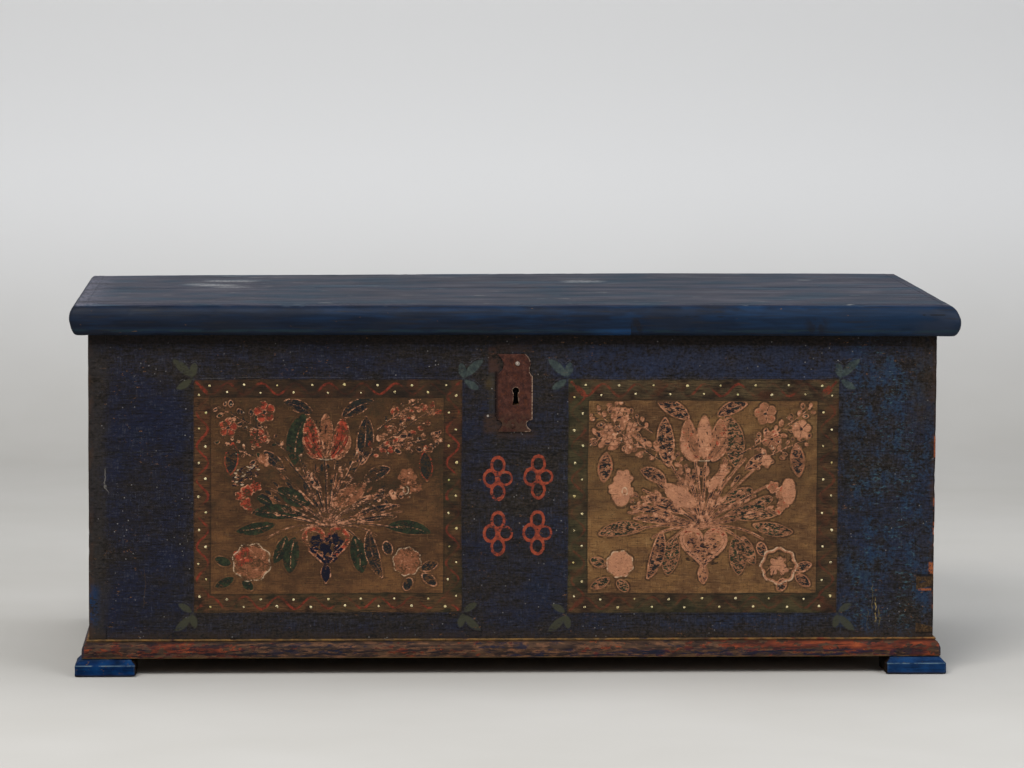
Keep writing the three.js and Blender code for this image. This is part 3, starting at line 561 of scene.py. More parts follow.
        # a few thin pale cracks low at the right, one at the left
        wander = s.mul(s.sub(s.noise((40, 40, 34), 3, 0.62, 27), 0.5), 0.026)
        for x, z0, z1, wide, tone in ((511, 74, 104, 0.8, "#8f7a4c"), (505, 88, 126, 0.4, "#54492f"), (516, 66, 92, 0.35, "#54492f"),
                                      (498, 60, 88, 0.3, "#4a4330"), (-574, 258, 290, 0.6, "#5d5a55"), (-520, 96, 150, 0.4, "#3a2e25")):
            crack = s.mul(s.band(s.math("ABSOLUTE", s.sub(s.add(s.x, wander), x * MM)), (wide + 0.5) * MM, wide * 0.4 * MM), s.between(s.z, z0 * MM, z1 * MM, 5 * MM))
            crack = s.mul(crack, s.band(s.y, -0.2, -0.26), s.band(mottle, 0.36, 0.48))
            c = s.mix(s.mul(crack, 0.85), c, tone)
    low = s.mul(s.band(s.z, 0.066, 0.053), s.band(ghost, 0.40, 0.52))
    c = s.mix(s.mul(low, 0.6), c, "#2f2419")
    c = s.mix(s.mul(s.between(s.x, 0.06, 0.50, 0.03), s.between(s.z, 0.420, 0.464, 0.003), s.band(ghost, 0.38, 0.54), 0.42), c, s.ramp(mottle, (0.35, "#161d31"), (0.65, "#262f45")))
    if not film:
        # a dark band from just under the lid's lip up to the top of the walls, ragged along its lower edge: the lid's
        # cast shadow painted into the colour
        painted_lid_shadow = s.mul(s.band(s.add(s.z, s.add(s.mul(s.sub(cloud, 0.5), 0.002), s.mul(s.band(s.x, 0.15, 0.58), 0.0024))), 0.4652, 0.4664), front)
        c = s.mix(s.mul(painted_lid_shadow, 0.62), c, s.ramp(mottle, (0.35, "#0b0908"), (0.68, "#211610")))
        corner = s.mul(s.band(s.math("ABSOLUTE", s.sub(s.x, (CX - 571.5) * MM)), 0.0012, 0.0004), s.band(s.z, 0.070, 0.060), front)
        c = s.mix(s.mul(corner, 0.8), c, "#0b0a0a")
        brown = s.mul(s.band(ragged_x, (CX + 552) * MM, (CX + 572) * MM), s.band(s.z, 0.33, 0.37), s.band(ghost, 0.36, 0.50), front)
        c = s.mix(s.mul(brown, 0.55), c, s.ramp(mottle, (0.34, "#1d1813"), (0.66, "#352a1f")))
    specks = s.cells(9, 3).outputs["Distance"]
    keep2 = s.band(s.noise(40, 2, 0.5, 10), 0.50, 0.62)
    c = s.mix(s.mul(s.band(specks, 0.13, 0.08), keep2, 0.8), c, "#6f6c69")
    chips = s.noise((8, 8, 4), 4, 0.68, 11)
    ochre = s.mul(s.band(chips, 0.645, 0.685), s.band(s.noise(110, 2, 0.5, 12), 0.46, 0.56))
    c = s.mix(s.mul(ochre, 0.9), c, s.ramp(mottle, (0.35, "#4a3524"), (0.65, "#6e4a2a")))
    joint = s.mul(s.band(s.math("ABSOLUTE", s.sub(s.z, JOINT_Z * MM)), 0.0011, 0.0003), s.band(s.noise((60, 60, 60), 3, 0.6, 23), 0.40, 0.56))
    joint = s.mul(joint, s.band(s.math("ABSOLUTE", s.sub(s.x, CX * MM)), 0.574, 0.568), s.band(s.y, -0.2, -0.26))
    c = s.mix(s.mul(joint, 0.8), c, "#0a0908")
    if not film:
        # the end boards' joint, and their dovetails faintly through the paint on the ends
        ends = s.band(s.math("ABSOLUTE", s.sub(s.x, CX * MM)), (HALF_X - 1.6) * MM, (HALF_X - 0.8) * MM)
        along = s.band(s.math("ABSOLUTE", s.sub(s.z, 0.362)), 0.0014, 0.0004)
        near = s.band(s.math("ABSOLUTE", s.y), (HALF_Y - 24.0) * MM, (HALF_Y - 25.6) * MM)
        c = s.mix(s.mul(ends, along, s.band(s.math("ABSOLUTE", s.y), 0.2435, 0.242), 0.8), c, "#0a0908")
        for lo_, hi_ in TAILS_Z:
            for z in (lo_, hi_):
                notch = s.mul(s.band(s.math("ABSOLUTE", s.sub(s.z, z * MM)), 0.0012, 0.0004), s.inv(near))
                c = s.mix(s.mul(ends, notch, s.band(cloud, 0.42, 0.56), 0.5), c, "#0c0b0b")
        upright = s.band(s.math("ABSOLUTE", s.sub(s.math("ABSOLUTE", s.y), (HALF_Y - 25.0) * MM)), 0.0012, 0.0004)
        c = s.mix(s.mul(ends, upright, s.band(cloud, 0.42, 0.56), 0.6), c, "#0c0b0b")
        # arrises
        edge = s.mul(s.attr("edge"), s.band(s.noise((14, 14, 26), 3, 0.6, 13), 0.44, 0.58))
        c = s.mix(s.mul(edge, 0.7), c, "#3d2c22")
        rim = s.mul(s.band(s.x, (CX + 592.6) * MM, (CX + 594.4) * MM), s.band(s.y, -0.264, -0.2665))
        c = s.mix(s.mul(rim, 0.6), c, "#17110f")
        worn_rim = s.mul(rim, s.band(s.noise((20, 20, 26), 3, 0.62, 14), 0.50, 0.58), s.between(s.z, 0.10, 0.36, 0.03))
        c = s.mix(worn_rim, c, s.ramp(mottle, (0.35, "#6b3526"), (0.6, "#90502f")))
        rim = s.mul(s.band(s.x, (CX - 593.6) * MM, (CX - 595.2) * MM), s.band(s.y, -0.264, -0.2665))
        c = s.mix(s.mul(rim, 0.5), c, "#2f2119")
    height = s.add(s.mul(hatch, 0.5), s.mul(weft, 0.2))
    return c, height, chips, cloud


def pin_wear(s, c):
    """End grain of the pins, worn bare on the front."""
    grain = s.noise((2.2, 2.2, 2.2), 3, 0.6, 15)
    wood = s.ramp(grain, (0.35, "#261b12"), (0.52, "#3b2b1b"), (0.68, "#543e26"))
    pin = s.attr("pin")
    keep = s.band(s.noise((9, 9, 6), 3, 0.6, 17), 0.28, 0.40)
    c = s.mix(s.mul(s.band(pin, 0.10, 0.30), keep, 0.8), c, "#130d09")
    c = s.mix(s.mul(s.band(pin, 0.34, 0.56), keep, 0.92), c, wood)
    glint = s.most(s.spot(572, 590, 116.5, 119.5, 0.8), s.spot(586, 592, 141, 157, 1.5))
    return s.mix(s.mul(glint, s.band(grain, 0.38, 0.48), s.band(s.y, -0.2, -0.26), 0.9), c, "#8a4c2a")


def body_finish(s, c, height, chips, cloud, grain):
    raw, g, fine = pine_colour(s, "#a4835c", "#866748", "#5c452f", 3, grain)
    c = s.mix(s.attr("painted"), raw, c)
    rough = s.ramp(cloud, (0.3, "#8e8e8e"), (0.7, "#b8b8b8"))
    return s.done(c, rough, 0.13, ((height, 0.30), (s.band(chips, 0.70, 0.66), 0.15)))


def body_material(name, grain="x"):
    s = Shade(name)
    c, height, chips, cloud = body_layers(s)
    return body_finish(s, pin_wear(s, c), height, chips, cloud, grain)


# ---------------------------------------------------------------- walls

BODY = body_material("chest_body_paint")
BODY_END = body_material("chest_end_paint", "y")


def painted_outside(ob, p, n):
    """1 where a wall vertex lies on the outside of the chest."""
    out = (np.abs(p[:, 0] - CX) > HALF_X - 2.2) | (np.abs(p[:, 1]) > HALF_Y - 2.2)
    attribute(ob, "painted", out.astype(float))


def outer_arris(e):
    """True for the arrises of the walls as a whole: the four corners, the top and the foot, and the plank joints."""
    a, b = e.verts[0].co / MM, e.verts[1].co / MM
    m = (a + b) / 2
    corner = abs(m.x - CX) > HALF_X - 0.5 and abs(m.y) > HALF_Y - 0.5
    top = min(a.z, b.z) > 496.5 or max(a.z, b.z) < 44.8
    plank = abs(a.z - b.z) < 0.1 and (abs(m.y) > HALF_Y - 0.5) and (abs(m.z - JOINT_Z) < 1 or abs(m.z - 362) < 1) \
        and abs(a.x - b.x) > 60
    return corner or top or plank


for node in ("front_board_upper", "front_board_lower", "back_board_upper", "back_board_lower"):
    fine = (9, 12, 8) if node.startswith("front") else (14, 14, 12)
    ob, p, n = worn(node, "carcass", fine, 0.7, wall_relief, 0.7, keep=outer_arris, close=0.17)
    painted_outside(ob, p, n)
    paint_on(ob, BODY)

PINS = ((60, 82, 1.0), (116, 143, 0.55))
for node in ("left_end_upper", "left_end_lower", "right_end_upper", "right_end_lower"):
    ob, p, n = worn(node, "carcass", (12, 12, 9), 0.7, wall_relief, 0.7, keep=outer_arris, close=0.17)
    painted_outside(ob, p, n)
    wear = np.zeros(len(p))
    if node.startswith("right"):
        for lo, hi, amount in PINS:
            wear = np.maximum(wear, amount * ((p[:, 2] > lo) & (p[:, 2] < hi) & (p[:, 1] < -HALF_Y + 1.5)))
    attribute(ob, "pin", wear)
    paint_on(ob, BODY_END)


# ---------------------------------------------------------------- painted panels

LAYERS = ("pan", "inn", "wave", "sprig", "orn", "salmon", "green", "dark", "bloom", "red", "navy", "pink", "white", "line")


class Sheet:
    """Painted shapes on a flat sheet. Every layer is a signed distance in mm at each point, positive inside the paint."""

    def __init__(self, x, z):
        self.p = np.stack([x, z], 1)
        self.layers = {}

    def near(self, pts, r):
        pts = np.atleast_2d(pts)
        lo, hi = pts.min(0) - r, pts.max(0) + r
        return np.nonzero((self.p[:, 0] > lo[0]) & (self.p[:, 0] < hi[0]) & (self.p[:, 1] > lo[1]) & (self.p[:, 1] < hi[1]))[0]

    def lay(self, name, shape):
        i, d = shape
        a = self.layers.setdefault(name, np.full(len(self.p), -6.0))
        a[i] = np.maximum(a[i], np.clip(d, -6, 6))

    def cut(self, name, shape):
        i, d = shape
        a = self.layers.setdefault(name, np.full(len(self.p), -6.0))
        a[i] = np.minimum(a[i], np.clip(-d, -6, 6))

    def balls(self, centres, radii):
        """Union of discs: the body of every stroke and leaf."""
        i = self.near(centres, max(radii) + 6)
        q = self.p[i]
        d = np.full(len(i), -6.0)
        for c, r in zip(centres, radii):
            d = np.maximum(d, r - np.hypot(q[:, 0] - c[0], q[:, 1] - c[1]))
        return i, d

    def curve(self, pts, n):
        """n points along a smooth curve through two, three or four control points."""
        t = np.linspace(0, 1, n)[:, None]
        p = [np.array(v, float) for v in pts]
        if len(p) == 2:
            return p[0] * (1 - t) + p[1] * t
        if len(p) == 3:
            return p[0] * (1 - t) ** 2 + 2 * p[1] * t * (1 - t) + p[2] * t ** 2
        return p[0] * (1 - t) ** 3 + 3 * p[1] * t * (1 - t) ** 2 + 3 * p[2] * t ** 2 * (1 - t) + p[3] * t ** 3

    def stroke(self, pts, w0, w1=None):
        w1 = w0 if w1 is None else w1
        length = sum(math.dist(a, b) for a, b in zip(pts[:-1], pts[1:]))
        n = max(4, int(length / max(0.6, min(w0, w1) * 0.9)))
        c = self.curve(pts, n)
        return self.balls(c, np.linspace(w0, w1, n))

    def leaf(self, base, tip, w, bend=0.0, blunt=0.8):
        base, tip = np.array(base, float), np.array(tip, float)
        d = tip - base
        side = np.array([-d[1], d[0]])
        n = 18
        c = self.curve([base, (base + tip) / 2 + side * bend, tip], n)
        t = np.linspace(0, 1, n)
        return self.balls(c, 0.25 + w * np.sin(math.pi * np.clip(t * 0.94 + 0.03, 0, 1)) ** blunt)

    def disc(self, c, r, lobes=0, deep=0.0, turn=0.0, squash=1.0):
        i = self.near([c], r * 1.3 + 6)
        v = (self.p[i] - np.array(c)) / np.array([1, squash])
        a = np.arctan2(v[:, 1], v[:, 0]) + turn
        return i, (r * (1 + deep * np.cos(lobes * a)) - np.hypot(v[:, 0], v[:, 1])) * min(1, squash)

    def heart(self, c, w, h):
        """Two lobes and a point, as a closed outline with a signed distance."""
        t = np.linspace(0, 2 * math.pi, 61)[:-1]
        px = 16 * np.sin(t) ** 3
        py = 13 * np.cos(t) - 5 * np.cos(2 * t) - 2 * np.cos(3 * t) - np.cos(4 * t)
        poly = np.stack([c[0] + px * w / 32, c[1] + (py + 2.5) * h / 29], 1)
        i = self.near(poly, 7)
        q = self.p[i]
        best, inside = np.full(len(i), 99.0), np.zeros(len(i), bool)
        for a, b in zip(poly, np.roll(poly, -1, 0)):
            e = b - a
            u = np.clip(((q - a) @ e) / (e @ e), 0, 1)
            best = np.minimum(best, np.hypot(*(q - a - u[:, None] * e).T))
            hit = ((a[1] > q[:, 1]) != (b[1] > q[:, 1])) & (q[:, 0] < e[0] * (q[:, 1] - a[1]) / (e[1] if e[1] else 1e-9) + a[0])
            inside ^= hit
        return i, np.where(inside, best, -best)


def ring(shape, width):
    i, d = shape
    return i, width / 2 - np.abs(d - width / 2)


def inset(shape, by):
    return shape[0], shape[1] - by


def leafy(S, base, tip, w, bend=0.0, kind="green", outline=None, vein=True):
    s = S.leaf(base, tip, w * 1.12, bend)
    S.lay("salmon", inset(s, -0.9))
    S.lay(kind, inset(s, 0.2))
    if outline or (outline is None and kind != "green"):
        S.lay("pink", ring(inset(s, -0.7), 1.1))
    if vein:
        b, t = np.array(base, float), np.array(tip, float)
        d = t - b
        side = np.array([-d[1], d[0]])
        S.lay("pink", S.stroke([b + d * 0.08, (b + t) / 2 + side * bend, b + d * 0.86], 0.55, 0.35))


def blossom(S, c, r, n=5, turn=0.0, kind="red", eye="dark"):
    for k in range(n):
        a = turn + 2 * math.pi * k / n
        s = S.disc((c[0] + math.cos(a) * r * 0.60, c[1] + math.sin(a) * r * 0.60), r * 0.42)
        S.lay("salmon", inset(s, -0.8))
        if kind:
            S.lay(kind, inset(s, 0.4))
        S.lay("pink", ring(inset(s, -0.5), 0.9))
        b_ = (c[0] + math.cos(a + 0.6) * r * 0.30, c[1] + math.sin(a + 0.6) * r * 0.30)
        S.lay("line", S.stroke([b_, (c[0] + math.cos(a + 0.6) * r * 0.9, c[1] + math.sin(a + 0.6) * r * 0.9)], 0.8, 0.5))
    if eye:
        S.lay(eye, S.disc(c, r * 0.22, 3, 0.3, turn))


def bud(S, base, tip, w, kind="dark"):
    s = S.leaf(base, tip, w, 0.0, 0.9)
    S.lay("salmon", inset(s, -0.6))
    S.lay(kind, inset(s, 1.8))
    S.lay("red", ring(s, 1.5))


def rose(S, c, r, turn=0.0, filled=False, ringed=False):
    s = S.disc(c, r, 8, 0.055, turn)
    if filled:
        S.lay("salmon", s)
        S.lay("bloom", inset(s, 1.0))
        S.lay("white", ring(s, 1.0))
    else:
        S.lay("white", ring(s, 1.5))
        S.lay("pink", ring(inset(s, 2.6), 0.9))
    if ringed:
        S.lay("salmon", ring(s, 4.2))
        S.lay("bloom", ring(inset(s, 0.8), 2.6))
        for k, (u, v, q) in enumerate(((-4, 2, 0.34), (6, -5, 0.28), (3, 7, 0.22), (-7, -8, 0.2))):
            t = S.disc((c[0] + u, c[1] + v), r * q, 4, 0.22, turn + k)
            S.lay("salmon", t)
            S.lay("bloom", inset(t, 0.6))
        for k in range(12):
            a = k * 0.52 + turn
            S.lay("line", S.stroke([(c[0] + math.cos(a) * r * 0.35, c[1] + math.sin(a) * r * 0.35),
                                    (c[0] + math.cos(a + 0.3) * r * 0.9, c[1] + math.sin(a + 0.3) * r * 0.9)], 0.7, 0.4))
    for k in range(5):
        a = turn + 0.6 + 2 * math.pi * k / 5
        b = (c[0] + math.cos(a) * r * 0.34, c[1] + math.sin(a) * r * 0.34)
        e = (c[0] + math.cos(a + 0.9) * r * 0.74, c[1] + math.sin(a + 0.9) * r * 0.74)
        S.lay("pink", S.stroke([b, ((b[0] + e[0]) / 2 + 2, (b[1] + e[1]) / 2 + 2), e], 0.55, 0.4))


def spray(S, rng, base, tip, n, spread, w=2.0, flowers=0, bend=0.0, kinds=("dark", "pink", "red")):
    """A branch with small strokes, dots and flowerets on both sides."""
    base, tip = np.array(base, float), np.array(tip, float)
    d = tip - base
    side = np.array([-d[1], d[0]]) / np.linalg.norm(d)
    mid = (base + tip) / 2 + side * bend * np.linalg.norm(d)
    S.lay("dark", S.stroke([base, mid, tip], 0.9, 0.5))
    S.lay("pink", S.stroke([base + side * 1.5, mid + side * 1.4, tip + side], 0.5, 0.4))
    for k in range(n):
        t = 0.12 + 0.88 * (k + rng.random() * 0.8) / n
        at = base * (1 - t) ** 2 + 2 * mid * t * (1 - t) + tip * t ** 2
        sgn = 1 if k % 2 else -1
        reach = spread * (0.35 + 0.65 * rng.random()) * (0.55 + 0.45 * math.sin(math.pi * min(1, t)))
        a = math.atan2(d[1], d[0]) + sgn * (0.55 + 0.6 * rng.random())
        e = at + np.array([math.cos(a), math.sin(a)]) * reach
        S.lay("dark" if rng.random() < 0.6 else "pink", S.stroke([at, (at + e) / 2 + rng.normal(0, 1.2, 2), e], 0.6, 0.45))
        kind = kinds[int(rng.integers(len(kinds)))]
        size = w * (0.6 + 0.7 * rng.random())
        tipp = e + np.array([math.cos(a), math.sin(a)]) * size * 2.0
        s = S.leaf(e - (tipp - e) * 0.5, tipp, size, 0.1 * sgn)
        S.lay("salmon", inset(s, -0.8))
        S.lay(kind, s)
        if rng.random() < 0.5:
            S.lay("pink", ring(inset(s, -0.5), 0.8))
        if rng.random() < 0.35:
            S.lay("white", S.disc(e + rng.normal(0, 2.2, 2), 0.9))
    for k in range(flowers):
        t = 0.45 + 0.5 * (k + 0.5) / flowers
        at = base * (1 - t) ** 2 + 2 * mid * t * (1 - t) + tip * t ** 2
        blossom(S, at + rng.normal(0, spread * 0.4, 2), w * 2.6, 4 + k % 2, rng.random() * 3, "bloom", "dark")


def bouquet(S, west):
    """A stylised bunch over a heart: the builder's own folk-flower pattern, laid out round (0, -44)."""
    rng = np.random.default_rng(11 if west else 23)
    m = 1.0 if west else -1.0

    def P(x, z):
        return (m * x, z)

    root = P(0, -44)
    # stems
    stems = [((-10, 0), (-60, 54), 1.0), ((-5, -6), (-34, 48), 0.9), ((-1, -4), (-4, 54), 1.1), ((5, -4), (24, 44), 0.9),
             ((12, -4), (52, 56), 1.0), ((-26, -16), (-92, 16), 0.9), ((-40, -30), (-104, -22), 0.9), ((26, -18), (84, 10), 0.9),
             ((44, -32), (104, -22), 0.9), ((34, -34), (98, -46), 0.9), ((-26, -36), (-56, -62), 0.9), ((24, -36), (46, -66), 0.9),
             ((46, -38), (70, -58), 0.9), ((-44, -34), (-86, -60), 0.8), ((3, -10), (10, 50), 0.7), ((-16, -12), (-74, 40), 0.7),
             ((14, -14), (66, 30), 0.7), ((-30, -28), (-82, -2), 0.7)]
    for k in range(16):
        a = math.radians(10 + 160 * (k + 0.5) / 16 + rng.normal(0, 2))
        r = 58 + 40 * rng.random() - 22 * abs(math.cos(a))
        c, e = (0.45 * r * math.cos(a) * 0.7, -44 + 0.55 * r * math.sin(a)), (r * math.cos(a) * 1.15, -44 + r * math.sin(a))
        stems.append((c, e, 0.7 + 0.5 * rng.random()))
    for c, e, w in stems:
        s = S.stroke([root, P(*c), P(*e)], w * 1.5, w * 0.9)
        S.lay("salmon", inset(s, -0.9))
        S.lay("dark", s)
        a, b, t = np.array(root), np.array(P(*c)), np.array(P(*e))
        off = np.array([1.7, 0.9])
        S.lay("pink", S.stroke([a + off * 0.3, b + off, t + off * 0.7], 0.62, 0.42))
    # heart
    h = S.heart(P(-2, -74), 68, 62)
    S.lay("salmon", h)
    part = S.p[h[0]]
    S.lay("bloom", ring(h, 6.0))
    S.lay("red", (h[0], np.minimum(ring(h, 6.5)[1], np.maximum(part[:, 0] * m - 4, part[:, 1] + 62) * 0.6)))
    S.lay("pink", ring(h, 1.5))
    S.lay("pink", ring(inset(h, 6.2), 1.4))
    for x, z, r in ((-15, -63, 7.5), (10, -61, 8.0), (-2, -75, 7.5), (-19, -76, 5.6), (15, -76, 6.2), (-2, -91, 6.2), (-11, -86, 5.0), (9, -88, 4.8), (-1, -62, 3.4),
                    (-21, -64, 3.6), (20, -66, 3.8), (-8, -70, 3.0), (6, -82, 3.2)):
        S.lay("navy", S.disc(P(x, z), r, 5, 0.22, x))
    if not west:
        S.lay("line", S.stroke([P(-2, -56), P(-3, -78), P(-2, -104)], 0.5, 0.4))
        S.lay("line", ring(inset(h, 3.4), 0.9))
        for k in range(34):
            x, z = rng.uniform(-24, 21), rng.uniform(-96, -60)
            S.lay("line", S.leaf(P(x - 2.2, z), P(x + 2.2 + rng.random() * 2, z + rng.normal(0, 1)), 0.9))
    for k in range(9):
        a = k * 0.7
        S.lay("pink", S.stroke([P(-2 + 12 * math.cos(a), -74 + 10 * math.sin(a)), P(-2 + 20 * math.cos(a + .4), -74 + 16 * math.sin(a + .4))], 0.6, 0.4))
    s = S.leaf(P(-2, -96), P(-2, -122), 6.2, 0, 1.0)
    S.lay("salmon", inset(s, -1.2)); S.lay("navy", s); S.lay("pink", ring(inset(s, -1.0), 1.1))
    # tulip
    for x0, z0, x1, z1, w, b, kind in ((-9, 54, -25, 108, 11.5, 0.16, "red"), (7, 54, 21, 108, 11, -0.16, "red"),
                                       (-2, 56, -2, 113, 10.5, 0, "bloom"), (-14, 52, -31, 88, 6, 0.22, "red"), (12, 52, 29, 86, 6, -0.22, "bloom")):
        s = S.leaf(P(x0, z0), P(x1, z1), w, b * m, 0.7)
        S.lay("salmon", inset(s, -0.6)); S.lay(kind, inset(s, 0.9)); S.lay("pink", ring(inset(s, -0.4), 1.3))
    for k in range(7):
        x = -20 + k * 6
        S.lay("pink", S.stroke([P(-1 + x * 0.25, 58), P(-1 + x * 0.8, 78), P(-1 + x, 92 + 8 * math.cos(k))], 0.6, 0.4))
    for x0, z0, x1, z1, x2, z2 in ((-3, 56, -14, 84, -9, 106), (0, 56, 12, 84, 7, 107), (-6, 56, -26, 78, -22, 102), (4, 56, 24, 76, 20, 100),
                                   (-2, 60, -4, 84, -2, 110), (-12, 56, -31, 70, -32, 86), (8, 56, 28, 70, 30, 84)):
        S.lay("line" if west else "dark", S.stroke([P(x0, z0), P(x1, z1), P(x2, z2)], 0.7 if west else 0.9, 0.5))
    for k in range(22 if west else 14):
        x, z = rng.uniform(-22, 20), rng.uniform(60, 104)
        S.lay("line", S.leaf(P(x - 0.6, z - 2.5), P(x + 0.8, z + 2.5), 0.8))
    S.lay("dark", S.stroke([P(-24, 54), P(-2, 47), P(22, 55)], 1.3, 1.0))
    S.lay("white", S.stroke([P(-10, 52), P(-2, 50), P(6, 52)], 0.7, 0.7))
    # leaves
    for b, t, w, bend, kind in (((-46, 46), (-33, 114), 12.5, 0.10, "green"), ((48, 46), (54, 110), 10, -0.06, "dark"),
                                ((-22, 116), (-60, 132), 7, -0.12, "dark"), ((22, 112), (62, 134), 8.5, 0.10, "dark"),
                                ((-26, -12), (-68, 10), 10, 0.06, "green"), ((28, -22), (80, 0), 6.5, 0.05, "dark"),
                                ((-36, -26), (-104, -24), 9.5, -0.08, "green"), ((-74, -40), (-126, -50), 7.5, 0.05, "green"),
                                ((84, -44), (144, -52), 8.5, 0.12, "green"), ((-58, -58), (-74, -94), 7.5, 0.08, "green"),
                                ((-46, -60), (-52, -108), 10, -0.08, "green"), ((38, -58), (48, -108), 10.5, 0.06, "green"),
                                ((58, -50), (76, -114), 8, -0.12, "dark"), ((54, 22), (86, 38), 7.5, 0.1, "dark"),
                                ((-62, 40), (-88, 62), 6.5, 0.05, "dark"), ((-98, -2), (-78, -12), 5.5, 0.1, "green"),
                                ((40, -28), (100, -14), 4.5, 0.06, "dark"), ((44, -36), (96, -30), 3.5, 0.05, "dark")):
        leafy(S, P(*b), P(*t), w, bend * m, kind)
    leafy(S, P(10, -12), P(52, 16), 10.5, -0.06 * m, "bloom")
    leafy(S, P(-10, 8), P(-26, 34), 4.5, 0.05, "bloom" if not west else "dark")
    # flowers at the upper corner and side
    blossom(S, P(-88, 118), 15, 5, 0.5, "red")
    blossom(S, P(-97, 82), 13, 5, 1.1, "red")
    blossom(S, P(-139, 96), 13, 5, 0.2, "red" if west else "bloom")
    for c, r in (((112, 26), 13), ((124, 12), 9), ((104, 8), 7), ((-90, 52), 8)):
        s = S.disc(P(*c), r, 6, 0.10, c[0])
        S.lay("salmon", s); S.lay("bloom", inset(s, 0.8))
        for k in range(9):
            a = rng.random() * 6.28
            S.lay("dark" if k % 2 else "pink", S.disc((m * c[0] + math.cos(a) * r * 0.6 * rng.random(), c[1] + math.sin(a) * r * 0.6), 1.1))
    S.lay("white", ring(S.disc(P(110, 8), 4.2, 0, 0, 0, 1.5), 1.2))
    bud(S, P(-136, 30), P(-132, 74), 9.5)
    bud(S, P(140, 22), P(136, 62), 9.5)
    # small strokes through the middle of the bunch
    for k in range(60):
        a, r = math.radians(15 + 150 * rng.random()), 30 + 62 * rng.random()
        x, z = r * math.cos(a) * 1.15, -44 + r * math.sin(a)
        u = np.array([math.cos(a), math.sin(a)]) * (3.5 + 4 * rng.random())
        s = S.leaf((m * (x - u[0]), z - u[1]), (m * (x + u[0]), z + u[1]), 1.2 + 0.9 * rng.random(), 0.1 * (k % 3 - 1))
        S.lay("salmon", inset(s, -0.7))
        S.lay(("dark", "dark", "pink", "bloom")[k % 4], s)
    # speckled carnation with its calyx
    if west:
        for k in range(70):
            a, q = rng.random() * 6.28, math.sqrt(rng.random())
            x, z = -115 + 20 * q * math.cos(a), 29 + 13 * q * math.sin(a) + 0.35 * 20 * q * math.cos(a)
            S.lay(("white", "navy", "dark", "navy", "pink")[k % 5], S.leaf((x - 2, z - 1.2), (x + 2.2, z + 1.4 * rng.normal()), 0.8))
    else:
        s = S.disc(P(115, 8), 14, 0, 0, 0, 1.55)
        S.lay("salmon", s); S.lay("bloom", inset(s, 0.6))
        s = S.disc(P(-122, 8), 10, 0, 0, 0, 2.0)
        S.lay("salmon", s); S.lay("bloom", inset(s, 0.6))
    for x, z, r in ((-112, 6, 9), (-100, 14, 8), (-122, 0, 7), (-114, -10, 8), (-108, -20, 5)):
        s = S.disc(P(x, z), r, 5, 0.14, x)
        S.lay("salmon", s); S.lay("red", inset(s, 0.8)); S.lay("pink", ring(s, 1.0))
    # corner roses
    if west:
        rose(S, (-106, -94), 27, 0.3)
        S.lay("red", S.disc((-118, -86), 12, 4, 0.2, 0.4))
        S.lay("bloom", inset(S.disc((-106, -94), 24, 8, 0.05), 0))
        rose(S, (112, -93), 20, 1.0, filled=True)
    else:
        rose(S, (-116, -95), 19, 0.3, filled=True)
        rose(S, (109, -98), 26, 0.8, ringed=True)
    for x, z, x1, z1 in ((-136, -96, -156, -88), (-132, -116, -156, -128), (-118, -120, -106, -132), (88, -82, 82, -66), (132, -104, 154, -96),
                         (116, -118, 110, -132), (134, -112, 152, -126)):
        leafy(S, (x, z), (x1, z1), 5.5, 0.05, "dark" if x > 0 else "green", vein=False)
    # sprays at the upper corners
    spray(S, rng, P(46, 44), P(150, 122), 26, 22, 2.6, 2, 0.06)
    spray(S, rng, P(60, 66), P(158, 84), 20, 17, 2.4, 3, -0.05)
    spray(S, rng, P(70, 92), P(128, 132), 16, 15, 2.3, 1, 0.05)
    spray(S, rng, P(-52, 60), P(-152, 126), 20, 16, 2.2, 0, -0.06, ("dark", "dark", "green", "pink"))
    spray(S, rng, P(-58, 36), P(-150, 82), 16, 13, 2.1, 0, 0.05, ("dark", "green", "pink"))
    spray(S, rng, P(-12, -10), P(-40, 60), 12, 8, 1.8, 0, 0.05, ("dark", "pink"))
    spray(S, rng, P(10, -2), P(44, 66), 12, 8, 1.8, 0, -0.05, ("dark", "pink"))
    spray(S, rng, P(48, -8), P(118, 2), 12, 9, 1.8, 0, 0.05, ("dark", "pink", "bloom"))


def sprig(S, corner, sx, sz, grow=1.0):
    """Three small leaves round an outer corner of a panel."""
    x, z = corner
    g = grow
    S.lay("sprig", S.leaf((x + sx * 2, z + sz * 4), (x - sx * 2 * g, z + sz * 25 * g), 6.0 * g))
    S.lay("sprig", S.leaf((x + sx * 5, z + sz * 5), (x + sx * 31 * g, z + sz * 30 * g), 6.6 * g, 0.08 * sx * sz))
    S.lay("sprig", S.leaf((x + sx * 4, z - sz * 1), (x + sx * 25 * g, z - sz * 14 * g), 5.6 * g, -0.05 * sx * sz))
    S.lay("sprig", S.stroke([(x, z), (x + sx * 8, z + sz * 8)], 0.9, 1.2))


def rect_inside(x, z, x0, x1, z0, z1):
    return np.minimum(np.minimum(x - x0, x1 - x), np.minimum(z - z0, z1 - z))


